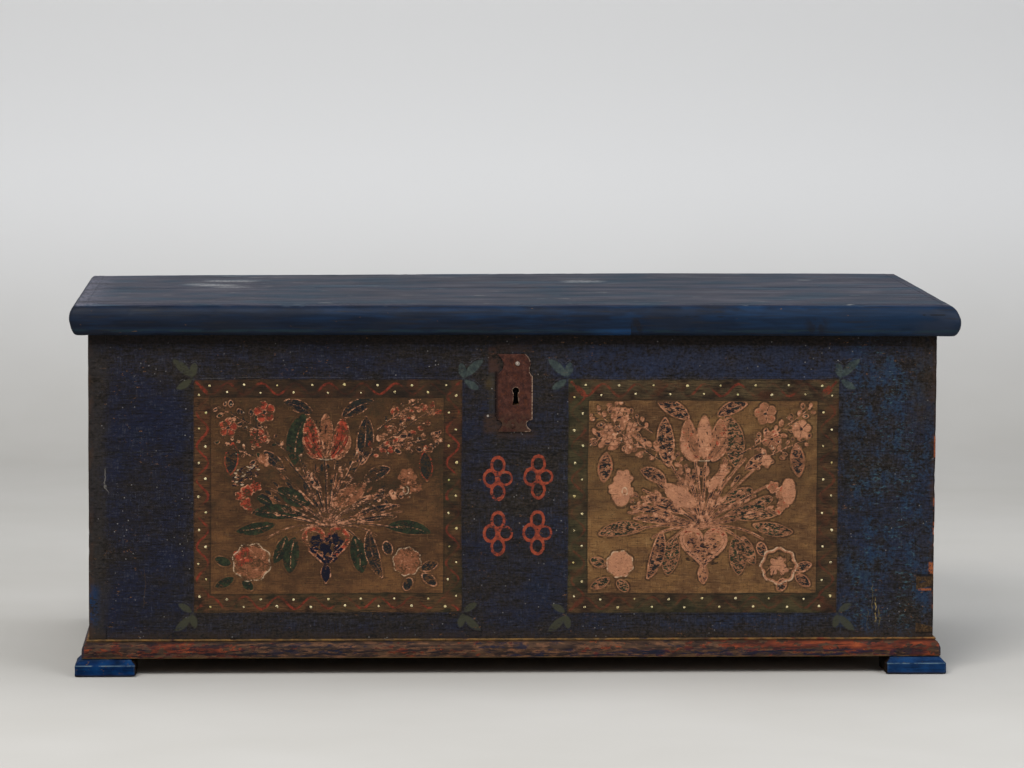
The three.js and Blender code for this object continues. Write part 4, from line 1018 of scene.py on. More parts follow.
def film(name, x0, x1, z0, z1, spacing, draw, body="carcass"):
    """A thin closed skin of paint over part of the front, following the boards' relief. draw(sheet) adds its layers
    and returns how far each point is inside the skin's outline, mm."""
    nx, nz = int((x1 - x0) / spacing), int((z1 - z0) / spacing)
    gx, gz = np.meshgrid(np.linspace(x0, x1, nx + 1), np.linspace(z0, z1, nz + 1))
    gx, gz = gx.ravel(), gz.ravel()
    S = Sheet(gx, gz)
    inside = draw(S)
    g = inside.reshape(nz + 1, nx + 1)
    cell = np.minimum(np.minimum(g[:-1, :-1], g[:-1, 1:]), np.minimum(g[1:, :-1], g[1:, 1:])) > 0
    for _ in range(6):      # no two cells may touch at a corner only
        a, b_, c, d = cell[:-1, :-1], cell[:-1, 1:], cell[1:, :-1], cell[1:, 1:]
        bad = (a & d & ~b_ & ~c) | (b_ & c & ~a & ~d)
        if not bad.any():
            break
        for r, k in zip(*np.nonzero(bad)):
            cell[r:r + 2, k:k + 2] = True
    n = len(gx)
    flat = np.stack([gx, np.full(n, -HALF_Y), gz], 1)
    h = 0.20 * step_up(inside, 0.8, 4.0) - 0.14 * (1 - step_up(inside, 0, 1.4))
    for layer, up in (("pan", 0.05), ("green", 0.05), ("dark", 0.05), ("red", 0.10), ("bloom", 0.08), ("white", 0.14), ("pink", 0.10), ("orn", 0.10),
                      ("wave", 0.07), ("sprig", 0.04)):
        if layer in S.layers:
            h = h + up * step_up(S.layers[layer], -0.7, 0.7) * (0.5 + 0.5 * step_up(noise(flat, 7, 33), -0.2, 0.5))
    groove = np.exp(-((gz - JOINT_Z) / 1.0) ** 2) * 0.16 * step_up(inside, 0.8, 4.0)
    y = -HALF_Y + wall_relief(flat) - h + groove
    verts = np.stack([gx, y, gz], 1)
    idx = np.arange(n).reshape(nz + 1, nx + 1)
    quads = np.stack([idx[:-1, :-1], idx[:-1, 1:], idx[1:, 1:], idx[1:, :-1]], -1)[cell]
    used = np.unique(quads)
    new = np.full(n, -1)
    new[used] = np.arange(len(used))
    quads = new[quads]
    verts = verts[used]
    edges = np.concatenate([quads[:, [0, 1]], quads[:, [1, 2]], quads[:, [2, 3]], quads[:, [3, 0]]])
    key = set(map(tuple, edges.tolist()))
    rim = [(a, b_) for a, b_ in edges.tolist() if (b_, a) not in key]
    loop = sorted({v for e in rim for v in e})
    m = len(verts)
    twin = {v: m + k for k, v in enumerate(loop)}
    back = verts[loop].copy()
    back[:, 1] = -HALF_Y + 1.6
    verts = np.vstack([verts, back])
    faces = [tuple(q) for q in quads.tolist()] + [(b_, a, twin[a], twin[b_]) for a, b_ in rim]
    ob = make(name, verts, faces, body)
    bm = bmesh.new()
    bm.from_mesh(ob.data)
    bm.verts.ensure_lookup_table()
    open_edges = [e for e in bm.edges if e.is_boundary]
    bmesh.ops.triangle_fill(bm, use_beauty=True, use_dissolve=False, edges=open_edges, normal=(0.0, 1.0, 0.0))
    bmesh.ops.recalc_face_normals(bm, faces=bm.faces[:])
    bm.to_mesh(ob.data)
    bm.free()
    ob.data.shade_smooth()
    for layer in LAYERS:
        d = S.layers.get(layer, np.full(n, -6.0))[used]
        attribute(ob, layer, np.concatenate([d, d[loop]]))
    attribute(ob, "painted", np.ones(len(verts)))
    return ob


PANELS = {"left": ((-451.6, -76.1, 87.6, 416.1), (-427.3, -102.2, 114.8, 390.5)),
          "right": ((73.6, 454.8, 85.8, 416.6), (101.8, 425.0, 113.9, 386.5))}
DOTS = {"left": [], "right": []}


def draw_panel(side):
    (ox0, ox1, oz0, oz1), (ix0, ix1, iz0, iz1) = PANELS[side]

    def draw(S):
        x, z = S.p[:, 0], S.p[:, 1]
        flat = np.stack([x, np.zeros(len(x)), z], 1)
        wob = 0.9 * noise(flat, 70, 51) + 0.4 * noise(flat, 16, 52)
        S.layers["pan"] = np.clip(rect_inside(x, z, ox0, ox1, oz0, oz1) + wob, -6, 60)
        wob2 = 0.8 * noise(flat, 60, 53) + 0.35 * noise(flat, 12, 54)
        S.layers["inn"] = np.clip(rect_inside(x, z, ix0, ix1, iz0, iz1) + wob2, -60, 20)
        sheet = Sheet(x - (ix0 + ix1) / 2, z - (iz0 + iz1) / 2)
        sheet.layers = {k: v for k, v in S.layers.items() if k not in ("pan", "inn")}
        bouquet(sheet, side == "left")
        inside = rect_inside(x, z, ix0, ix1, iz0, iz1)
        for k, v in sheet.layers.items():
            S.layers[k] = np.minimum(v, inside - 1.5)
        # red wave and dots along the band
        rng = np.random.default_rng(5 if side == "left" else 6)
        for a, b, c0, c1, way in ((ox0, ox1, oz1, iz1, "top"), (ox0, ox1, oz0, iz0, "foot"), (oz0, oz1, ox0, ix0, "west"), (oz0, oz1, ox1, ix1, "east")):
            length = b - a
            n = int(round((length - 46) / 47))
            pitch = (length - 46) / n
            width = c1 - c0
            ph = [a + 23 + pitch * k for k in range(n + 1)]
            pts = []
            for t in np.linspace(a + 10, b - 10, int(length / 1.1)):
                s = c0 + width * (0.50 + 0.29 * math.cos(2 * math.pi * (t - a - 23) / pitch) + 0.04 * math.sin(t * 0.13))
                pts.append((t, s) if way in ("top", "foot") else (s, t))
            pts = np.array(pts)
            S.lay("wave", S.balls(pts, 1.0 + 0.55 * np.abs(noise(np.stack([pts[:, 0], pts[:, 1], pts[:, 0] * 0], 1), 23, 55)) + 0.35))
            for t in ph:
                u, v = t + rng.normal(0, 0.8), c0 + width * 0.30 + rng.normal(0, 0.6)
                DOTS[side].append(((u, v) if way in ("top", "foot") else (v, u)) + (rng.uniform(1.35, 2.1),))
            for t in ph[:-1]:
                u, v = t + pitch / 2 + rng.normal(0, 0.8), c0 + width * 0.70 + rng.normal(0, 0.6)
                DOTS[side].append(((u, v) if way in ("top", "foot") else (v, u)) + (rng.uniform(1.3, 1.95),))
        for cx_, cz_, sx, sz in ((ox0, oz1, -1, 1), (ox1, oz1, 1, 1), (ox0, oz0, -1, -1), (ox1, oz0, 1, -1)):
            S.lay("wave", S.stroke([(cx_ - sx * 4, cz_ - sz * 4), (cx_ - sx * 20, cz_ - sz * 20)], 1.9, 1.2))
            sprig(S, (cx_, cz_), sx, sz, 0.92 if sz > 0 else 0.85)
        return np.maximum(S.layers["pan"] + 4.5, S.layers["sprig"] + 4.0)
    return draw


def ornament(S, cx_, cz_, w, h, turn):
    """A four-petalled flower drawn in outline."""
    for k in range(4):
        a = math.pi / 2 * k
        dx, dz = math.cos(a), math.sin(a)
        c = (cx_ + dx * w * 0.27, cz_ + dz * h * 0.28)
        s = S.disc(c, w * 0.27, 0, 0, 0, 1.28 if dz else 1.0)
        S.lay("orn", ring(s, 3.6 if dz else 3.0))
    S.lay("orn", S.disc((cx_, cz_), 3.4, 4, 0.15, turn))


def draw_centre(S):
    for cx_, cz_, k in ((-25.5, 277, 0), (31.5, 279, 1), (-25, 199, 2), (30.5, 200, 3)):
        ornament(S, cx_, cz_, 39, 66, k * 0.4)
    return S.layers["orn"] + 4.0


def painting_material():
    s = Shade("chest_front_painting")
    c, height, chips, cloud = body_layers(s, film=True)
    west = s.band(s.x, 0.01, -0.01)
    w1 = s.noise(5.5, 3, 0.6, 101)
    w2 = s.noise((3.2, 3.2, 1.5), 3, 0.65, 102)
    grain = s.noise((15, 15, 1.7), 3, 0.68, 103)
    across = s.noise((1.9, 1.9, 12), 3, 0.68, 110)
    worn_at = s.noise((26, 26, 16), 4, 0.65, 104)
    broad = s.noise((85, 85, 60), 3, 0.55, 105)
    ragged = s.add(s.mul(s.sub(w1, 0.5), 3.4), s.mul(s.sub(w2, 0.5), 2.4))

    def mask(name, soft=0.35, shift=0.0):
        d = s.add(s.attr(name), s.add(s.mul(ragged, 0.5), shift))
        return s.band(d, -soft, soft)

    # sprigs and centre ornaments on the blue
    sp = s.mul(mask("sprig", 1.1, -0.4), s.band(s.add(s.mul(w2, 0.4), s.mul(worn_at, 0.6)), 0.34, 0.50))
    sprig_c = s.mix(s.mul(s.band(s.z, 0.20, 0.34), s.band(s.x, -0.38, -0.28)), "#3a3a2c", s.ramp(w1, (0.36, "#2a3334"), (0.62, "#414a45")))
    c = s.mix(s.mul(sp, 0.80), c, sprig_c)
    orn = s.mul(mask("orn", 0.5), s.band(s.add(s.mul(worn_at, 0.55), s.mul(w2, 0.45)), 0.38, 0.46))
    c = s.mix(s.mul(orn, 0.95), c, s.ramp(w1, (0.32, "#5a2b20"), (0.48, "#7c3626"), (0.62, "#944029"), (0.74, "#6e5040")))

    # border band
    olive = s.ramp(s.add(s.mul(worn_at, 0.6), s.mul(grain, 0.4)), (0.36, "#1e1611"), (0.48, "#322218"), (0.58, "#46301e"), (0.70, "#5c432b"))
    green = s.mul(s.band(broad, 0.40, 0.56), s.most(s.band(s.z, 0.16, 0.09), s.mul(s.band(s.x, 0.125, 0.085), s.inv(west)), s.mul(s.band(s.x, -0.12, -0.09), west, 0.7), 0.15))
    olive = s.mix(s.mul(green, 0.62), olive, s.ramp(worn_at, (0.35, "#26281a"), (0.65, "#3a3a24")))
    moss = s.mul(west, s.most(s.band(s.x, -0.425, -0.435), s.band(s.z, 0.118, 0.106)), s.band(worn_at, 0.36, 0.50))
    olive = s.mix(s.mul(moss, 0.55), olive, s.ramp(grain, (0.35, "#36261a"), (0.65, "#5e4029")))
    olive = s.mix(s.mul(west, s.band(s.z, 0.386, 0.394), 0.45), olive, "#201b17")
    pale = s.mul(s.inv(west), s.most(s.band(s.z, 0.384, 0.394), s.band(s.x, 0.458, 0.468), 0.35))
    olive = s.mix(s.mul(pale, s.band(worn_at, 0.34, 0.54), 0.50), olive, s.ramp(grain, (0.35, "#2f2c1f"), (0.65, "#524a35")))
    redden = s.band(s.noise((30, 30, 22), 3, 0.6, 106), 0.52, 0.66)
    olive = s.mix(s.mul(redden, 0.4), olive, "#4a2a1c")
    olive = s.mix(s.mul(s.band(grain, 0.42, 0.32), 0.55), olive, "#15120f")
    pan = s.band(s.add(s.attr("pan"), s.mul(ragged, 0.30)), -0.5, 0.5)
    c = s.mix(pan, c, olive)
    wave_keep = s.band(s.add(s.mul(worn_at, 0.35), s.mul(s.noise(42, 2, 0.5, 107), 0.65)), 0.46, 0.56)
    wave = s.mul(mask("wave", 0.6), s.add(0.08, s.mul(wave_keep, s.add(0.22, s.most(s.mul(west, 0.56), s.mul(s.band(s.z, 0.382, 0.392), 0.42))))), pan)
    c = s.mix(wave, c, s.ramp(w1, (0.35, "#4a2118"), (0.55, "#6e2b1e"), (0.7, "#833423")))
    edge_line = s.band(s.math("ABSOLUTE", s.add(s.attr("inn"), 1.2)), 1.3, 0.5)
    c = s.mix(s.mul(edge_line, s.band(worn_at, 0.42, 0.54), pan, 0.5), c, "#1e1a14")
    rim = s.band(s.math("ABSOLUTE", s.sub(s.attr("pan"), 1.0)), 1.2, 0.4)
    c = s.mix(s.mul(rim, s.band(w1, 0.42, 0.55), 0.5), c, "#141310")

    # ground of the picture
    gw = s.ramp(s.add(s.mul(broad, 0.5), s.mul(worn_at, 0.5)), (0.34, "#352418"), (0.46, "#47301f"), (0.56, "#593c25"), (0.68, "#69472a"))
    ge = s.ramp(s.add(s.mul(broad, 0.5), s.mul(worn_at, 0.5)), (0.34, "#46301f"), (0.46, "#5d4129"), (0.56, "#705030"), (0.68, "#80603c"))
    ground = s.mix(west, ge, gw)
    ground = s.mix(s.mul(s.band(s.z, 0.295, 0.320), s.add(0.20, s.mul(west, 0.35))), ground, "#3c2a1c")
    ground = s.mix(s.mul(s.band(grain, 0.45, 0.33), 0.65), ground, "#33241a")
    ground = s.mix(s.mul(s.band(grain, 0.57, 0.68), 0.22), ground, s.mix(west, "#a8845d", "#8c6a3e"))
    ground = s.mix(s.mul(s.band(across, 0.44, 0.34), 0.45), ground, "#3b291c")
    ground = s.mix(s.mul(s.band(across, 0.60, 0.70), 0.22), ground, s.mix(west, "#a8845d", "#8c6a3e"))
    ground = s.mix(s.mul(s.band(w2, 0.60, 0.70), 0.5), ground, "#2a1f18")
    # a dark green-brown wash behind the flowers
    veil = s.mul(s.band(s.noise((60, 60, 50), 4, 0.62, 111), 0.44, 0.60), s.band(s.z, 0.20, 0.25))
    ground = s.mix(s.mul(veil, s.band(s.add(s.mul(grain, 0.5), s.mul(across, 0.5)), 0.40, 0.54), s.add(0.45, s.mul(west, 0.35))), ground, "#2b2419")
    inn = s.band(s.add(s.attr("inn"), s.mul(ragged, 0.25)), -0.5, 0.5)
    c = s.mix(inn, c, ground)

    # paint layers, each worn in its own way; the right panel has lost most of its dark paint
    east = s.inv(west)
    salmon = s.mul(mask("salmon", 0.4), s.add(s.mul(east, 0.92), s.mul(west, s.mul(s.band(worn_at, 0.54, 0.64), 0.6))))
    salmon_c = s.ramp(s.add(s.mul(w1, 0.5), s.mul(worn_at, 0.5)), (0.34, "#684430"), (0.48, "#84573e"), (0.60, "#9c6a4c"), (0.72, "#ad7957"))
    # dark outline round each shape, broken
    shape = s.add(s.attr("salmon"), s.mul(ragged, 0.5))
    outline = s.mul(s.band(s.math("ABSOLUTE", s.add(shape, 1.5)), 1.7, 0.5), s.band(s.add(s.mul(w1, 0.5), s.mul(worn_at, 0.5)), 0.44, 0.54))
    c = s.mix(s.mul(outline, inn, s.add(s.mul(east, 0.72), s.mul(west, 0.42))), c, "#2a1d16")
    frag = s.add(s.mul(w2, 0.55), s.mul(s.noise((9, 9, 5), 3, 0.6, 113), 0.45))
    salmon = s.mul(salmon, s.sub(1.0, s.mul(s.band(grain, 0.42, 0.34), 0.7)), s.sub(1.0, s.mul(s.band(s.add(s.mul(w2, 0.5), s.mul(w1, 0.5)), 0.42, 0.36), 0.8)))
    c = s.mix(s.mul(salmon, inn), c, salmon_c)
    fray = s.add(s.mul(w2, 0.40), s.add(s.mul(w1, 0.25), s.mul(worn_at, 0.35)))
    left_dark = s.band(fray, 0.455, 0.50)
    right_dark = s.band(frag, 0.480, 0.505)
    dark_keep = s.add(s.mul(west, left_dark), s.mul(east, right_dark))
    left_green = s.band(fray, 0.415, 0.46)
    green_keep = s.add(s.mul(west, left_green), s.mul(east, right_dark))
    green_c = s.ramp(w1, (0.34, "#171b17"), (0.50, "#20261b"), (0.66, "#2f3422"))
    c = s.mix(s.mul(mask("green"), green_keep, inn), c, green_c)
    c = s.mix(s.mul(mask("dark"), dark_keep, inn), c, s.ramp(w1, (0.35, "#11141a"), (0.65, "#24241f")))
    bloom_keep = s.add(s.mul(west, s.band(fray, 0.45, 0.50)), s.mul(east, s.band(frag, 0.40, 0.44)))
    bloom_c = s.mix(west, s.ramp(fray, (0.40, "#90624a"), (0.6, "#ac7858")), s.ramp(fray, (0.40, "#5f3c29"), (0.55, "#7a4b33"), (0.68, "#a06c50")))
    c = s.mix(s.mul(mask("bloom"), bloom_keep, inn), c, bloom_c)
    red_keep = s.add(s.mul(west, s.band(fray, 0.46, 0.51)), s.mul(east, s.band(fray, 0.54, 0.58)))
    c = s.mix(s.mul(mask("red"), red_keep, inn), c, s.ramp(w1, (0.34, "#4f231a"), (0.48, "#752f21"), (0.62, "#963e2a")))
    c = s.mix(s.mul(mask("navy", 0.4), s.add(s.mul(west, s.band(fray, 0.40, 0.44)), s.mul(east, s.band(frag, 0.53, 0.55))), inn), c, "#10121f")
    pink_keep = s.add(s.mul(west, s.band(fray, 0.47, 0.53)), s.mul(east, s.band(fray, 0.44, 0.50)))
    c = s.mix(s.mul(mask("pink", 0.4, 0.1), pink_keep, inn, 0.9), c, s.ramp(w1, (0.36, "#7d5039"), (0.55, "#a56f52"), (0.7, "#bb8767")))
    c = s.mix(s.mul(mask("white", 0.4, 0.1), s.band(fray, 0.44, 0.50), inn, 0.75), c, "#b89c7f")
    c = s.mix(s.mul(mask("line", 0.3), s.band(frag, 0.42, 0.46), inn, 0.9), c, "#1c1613")
    # age: dark flecks and level cracks over everything
    fleck = s.mul(s.band(s.noise((4.2, 4.2, 2.4), 3, 0.7, 108), 0.62, 0.67), pan)
    c = s.mix(s.mul(fleck, 0.75), c, "#1a1512")
    c = s.mix(s.mul(s.band(s.noise((34, 34, 1.1), 3, 0.6, 109), 0.38, 0.32), pan, 0.65), c, "#1e1611")
    c = s.mix(s.mul(s.band(s.noise((1.3, 1.3, 26), 3, 0.6, 112), 0.36, 0.31), pan, 0.45), c, "#1e1611")
    return body_finish(s, c, s.add(height, s.mul(w2, 0.5)), chips, cloud, "x")


PAINTING = painting_material()
paint_on(film("painting_left", -489.0, -40.0, 57.0, 447.0, 1.5, draw_panel("left")), PAINTING)
paint_on(film("painting_right", 37.5, 492.0, 55.5, 447.0, 1.5, draw_panel("right")), PAINTING)
paint_on(film("painting_centre", -53.0, 59.0, 156.0, 322.0, 1.0, draw_centre), PAINTING)


def dot_material():
    s = Shade("chest_cream_dots")
    a = s.noise(30, 2, 0.5, 121)
    b = s.noise(1.8, 3, 0.6, 122)
    c = s.ramp(a, (0.34, "#b8a468"), (0.48, "#d2c090"), (0.60, "#ddcda2"), (0.70, "#a5a05a"))
    c = s.mix(s.band(b, 0.50, 0.38), c, "#5a4a30")
    return s.done(c, 0.6, 0.25, ((b, 0.2),))


def dots(name, spots):
    """Thick round touches of cream paint, each a closed dome, along the border of a panel."""
    verts, faces = [], []
    for x, z, r in spots:
        base = len(verts)
        flat = np.array([[x, -HALF_Y, z]])
        y0 = -HALF_Y + float(wall_relief(flat)[0]) - 0.22
        for k, (q, up) in enumerate(((1.0, -0.35), (1.0, 0.0), (0.86, 0.22), (0.5, 0.40))):
            for j in range(12):
                a = 2 * math.pi * j / 12
                wob = 1 + 0.10 * math.sin(3 * a + x) + 0.07 * math.cos(2 * a + z)
                verts.append((x + r * q * wob * math.cos(a), y0 - up, z + r * q * wob * math.sin(a)))
        verts.append((x, y0 - 0.46, z))
        for k in range(3):
            for j in range(12):
                a, b = base + k * 12 + j, base + k * 12 + (j + 1) % 12
                faces.append((a, b, b + 12, a + 12))
        for j in range(12):
            faces.append((base + 36 + j, base + 36 + (j + 1) % 12, base + 48))
        faces.append(tuple(base + j for j in range(11, -1, -1)))
    ob = make(name, verts, faces, "carcass")
    return ob


DOT = dot_material()
for side in DOTS:
    paint_on(dots("dots_" + side, DOTS[side]), DOT)


# ---------------------------------------------------------------- lid

def lid_material(name, lip=False):
    s = Shade(name)
    up = s.attr("up")
    grain = s.noise((180, 5.5, 5.5), 4, 0.62, 21)
    fine = s.noise((60, 1.6, 1.6), 3, 0.6, 22)
    cloud = s.noise((120, 60, 60), 3, 0.55, 23)
    # the top is lighter and greyer than the sides: dusty worn paint together with a painted sheen standing in for the
    # grazing reflection on the top
    top = s.ramp(grain, (0.34, "#181a23"), (0.45, "#272934"), (0.56, "#363641"), (0.68, "#4c4b55"))
    top = s.mix(s.band(cloud, 0.46, 0.62), top, s.ramp(grain, (0.34, "#141f2c"), (0.5, "#273340"), (0.68, "#434f5a")))
    spill = s.band(s.noise((60, 14, 14), 3, 0.6, 31), 0.66, 0.72)
    top = s.mix(s.mul(spill, 0.7), top, "#7b7a78")
    speck = s.noise((5, 5, 5), 4, 0.72, 24)
    worn_end = s.mul(s.band(s.x, -0.560, -0.622), s.band(s.add(s.mul(speck, 0.6), s.mul(cloud, 0.4)), 0.46, 0.56))
    top = s.mix(s.mul(worn_end, 0.75), top, s.ramp(speck, (0.40, "#4b4954"), (0.60, "#716e79")))
    for x0, x1, y0, y1 in ((-452, -398, 62, 100), (-470, -425, 88, 112), (-425, -380, 24, 50), (-440, -372, 150, 186), (96, 150, 120, 160), (354, 374, 284, 300)):
        drop = s.mul(s.between(s.x, x0 * MM, x1 * MM, 14 * MM), s.between(s.y, y0 * MM, y1 * MM, 16 * MM), s.band(s.add(s.mul(fine, 0.5), s.mul(speck, 0.5)), 0.46, 0.52))
        top = s.mix(s.mul(drop, 0.9), top, "#7c7d7e")
    top = s.mix(s.mul(s.between(s.x, -0.30, 0.40, 0.15), 0.14), top, "#15181d")
    top = s.mix(s.mul(s.band(fine, 0.60, 0.70), 0.35), top, "#545863")
    top = s.mix(s.mul(s.band(fine, 0.40, 0.30), 0.5), top, "#1a1b22")
    side = s.ramp(s.noise((90, 90, 7), 3, 0.6, 25), (0.32, "#0c131f"), (0.48, "#0f1a2b"), (0.66, "#12243b"))
    blue = s.mul(s.band(s.noise((80, 80, 22), 3, 0.6, 26), 0.48, 0.66), s.band(s.z, 0.488, 0.512))
    side = s.mix(s.mul(blue, s.add(0.22, s.mul(s.band(s.x, -0.25, 0.10), 0.28))), side, "#113151")
    side = s.mix(s.mul(s.band(s.x, -0.10, -0.40), 0.30), side, "#121824")
    dull = s.band(s.noise((110, 110, 30), 3, 0.6, 32), 0.48, 0.64)
    side = s.mix(s.mul(dull, 0.55), side, "#191e29")
    side = s.mix(s.mul(s.band(s.x, 0.10, 0.55), 0.35), side, "#15304c")
    side = s.mix(s.mul(s.band(s.add(s.x, s.mul(s.sub(dull, 0.5), 0.03)), 0.565, 0.590), 0.65), side, s.ramp(dull, (0.3, "#182130"), (0.7, "#212836")))
    line = s.mul(s.between(s.z, 0.4845, 0.4885, 0.0012), s.band(s.noise((40, 40, 4), 3, 0.6, 27), 0.36, 0.54))
    side = s.mix(s.mul(line, 0.7), side, "#1d2f36")
    butt = s.mul(s.band(s.math("ABSOLUTE", s.sub(s.x, 0.1585)), 0.0010, 0.0004), s.band(s.z, 0.499, 0.494))
    side = s.mix(s.mul(butt, 0.8), side, "#0c1016")
    side = s.mix(s.mul(s.band(s.x, 0.085, 0.140), s.band(s.x, 0.1590, 0.1580), s.band(s.z, 0.492, 0.487), 0.60), side, "#17406b")
    smudge = s.most(s.spot(160, 174, 483, 505, 4), s.mul(s.spot(404, 432, 482, 504, 6), 0.8))
    side = s.mix(s.mul(smudge, s.band(s.noise((12, 12, 16), 3, 0.6, 34), 0.40, 0.52), 0.75), side, "#17161a")
    checks = s.mul(s.spot(232, 290, 505, 516, 3), s.band(s.noise((16, 16, 1.6), 3, 0.65, 35), 0.56, 0.62))
    side = s.mix(s.mul(checks, 0.8), side, "#10141b")
    scar = s.mul(s.spot(568, 600, 509.0, 510.6, 0.5), s.band(s.noise((9, 9, 9), 2, 0.5, 33), 0.40, 0.50))
    side = s.mix(s.mul(scar, 0.9), side, "#0d0d10")
    brown = s.noise((70, 70, 3.2), 4, 0.62, 28)
    side = s.mix(s.mul(s.band(brown, 0.56, 0.66), 0.5), side, "#211f20")
    chips = s.noise((12, 12, 5), 3, 0.65, 29)
    side = s.mix(s.band(chips, 0.71, 0.75), side, "#5d4630")
    # top colour on faces turned up, side colour elsewhere: the lighter top carries the painted sheen
    c = s.mix(s.band(s.add(up, s.mul(s.sub(fine, 0.5), 0.25)), 0.72, 0.97), side, top)
    edge = s.mul(s.attr("edge"), s.band(s.noise((16, 16, 8), 3, 0.6, 30), 0.42, 0.58))
    c = s.mix(s.mul(edge, 0.28), c, "#3a3840")
    raw, g, f2 = pine_colour(s, "#987852", "#7b5e40", "#543f2b", 9)
    c = s.mix(s.attr("under"), c, raw)
    # specular nearly off on the top, where the sheen is painted into the colour instead
    return s.done(c, s.ramp(cloud, (0.3, "#b0b0b0"), (0.7, "#cccccc")), s.add(0.02, s.mul(s.band(up, 0.8, 0.4), 0.10)),
                  ((grain, 0.30), (fine, 0.14), (chips, 0.1)))


def lid_arris(e):
    """The lid boards are rounded at the rear, under the lid and, barely, where they meet each other; not against the lip."""
    a, b = e.verts[0].co / MM, e.verts[1].co / MM
    m = (a + b) / 2
    return m.y > 290 or m.z < 500


def lid_warp(x, y, z):
    """How far the lid has warped: its upper face rises towards the rear, most of all at the right."""
    rear = np.interp(x, [-600, -458, -217, 23, 264, 505, 600], [0, 1.4, 2.6, 4.2, 5.6, 5.6, 5.2])
    fore = np.interp(x, [-600, 0, 600], [0, 0.3, 1.4])
    return (fore + (rear - fore) * np.clip((y + 272) / 569, 0, 1)) * np.clip((z - 499) / 22, 0, 1)


def lip_sag(x, z):
    """How far the lip hangs: its lower edge a little at both ends, and at the right end its nose as well."""
    drop = np.interp(x, [-624, -300, 0, 300, 624], [1.2, 0.4, 0.0, 0.6, 1.4]) * np.clip((523 - z) / 43, 0, 1)
    nose = 4.5 * np.clip((x - 588) / 12, 0, 1) * np.sin(math.pi * np.clip((z - 480) / 43, 0, 1))
    return drop + nose


LID = lid_material("chest_lid_paint")
for node in ("lid_board_front", "lid_board_rear"):
    ob, p, n = worn(node, "lid", (9, 9, 12), 1.0, lid_relief, 0.9, keep=lid_arris)
    side, fore = np.abs(p[:, 0]) > 598.2, p[:, 1] < -271.2
    q = points(ob)
    q[:, 0] = np.where(side, np.sign(p[:, 0]) * 599.25, q[:, 0])
    q[:, 1] = np.where(fore, -272.25, q[:, 1])
    q[:, 2] += lid_warp(q[:, 0], q[:, 1], q[:, 2])
    ob.data.vertices.foreach_set("co", (q * MM).astype(np.float32).ravel())
    ob.data.update()
    attribute(ob, "under", (n[:, 2] < -0.3).astype(float))
    beside = (side | fore) & (q[:, 2] > 520)
    attribute(ob, "up", np.where(beside, 1.0, n[:, 2]))
    rear = np.clip((q[:, 1] - 285) / 8, 0, 1)
    attribute(ob, "edge", rear)
    paint_on(ob, LID)

LID_X = 599.0      # inner face of the lip from the lid's middle (x 0)
LID_FRONT, LID_REAR = -272.0, 297.0
NOSE_Z, LIP_LO, LIP_HI = 503.0, 479.0, 523.0


def lip_profile(width):
    """Outer profile of the lip from the bottom inner corner round the nose to the top inner corner (u out, z)."""
    low = resample([(0.3, 480), (13.4, 480), (15.6, 480.35), (17.6, 481.6), (19.3, 483.8), (20.9, 486.9), (22.5, 491),
                    (23.9, 496), (24.7, 500), (25, 503)], 1.6)
    t = np.linspace(0, math.pi / 2, 15)[1:]
    arc = np.stack([25 - width + width * np.cos(t), 503 + 20 * np.sin(t)], 1)
    flat = resample([(25 - width, 523), (0.3, 523)], 2.0)
    flat = flat[1:] if len(flat) > 1 else flat[:0]
    return low, arc, flat


def lip_ring(width):
    """The same number of points whatever the width."""
    low, arc, _ = lip_profile(width)
    end = np.stack([np.linspace(25 - width, 0.3, 7)[1:], np.full(6, 523.0)], 1)
    return np.vstack([low, arc, end])


CORNER = 7.0


def corner_cut(u, c):
    """How far a point u out on the lip moves in, c mm from the corner, where the corner is rounded in plan."""
    r = np.maximum(CORNER * np.clip(u, 0, 25) / 25, 1e-6)
    k = np.clip(r - c, 0, r)
    return r - np.sqrt(np.maximum(r * r - k * k, 0))


def lip_relief(p, ring):
    soft = 0.28 * (1 + noise(p, (80, 80, 16), 41)) + 0.16 * (1 + noise(p, (16, 16, 8), 42))
    dent = np.clip(noise(p, (10, 10, 8), 43, 2) * 2.4 - 0.85, 0, 1) * 0.9
    return soft + dent


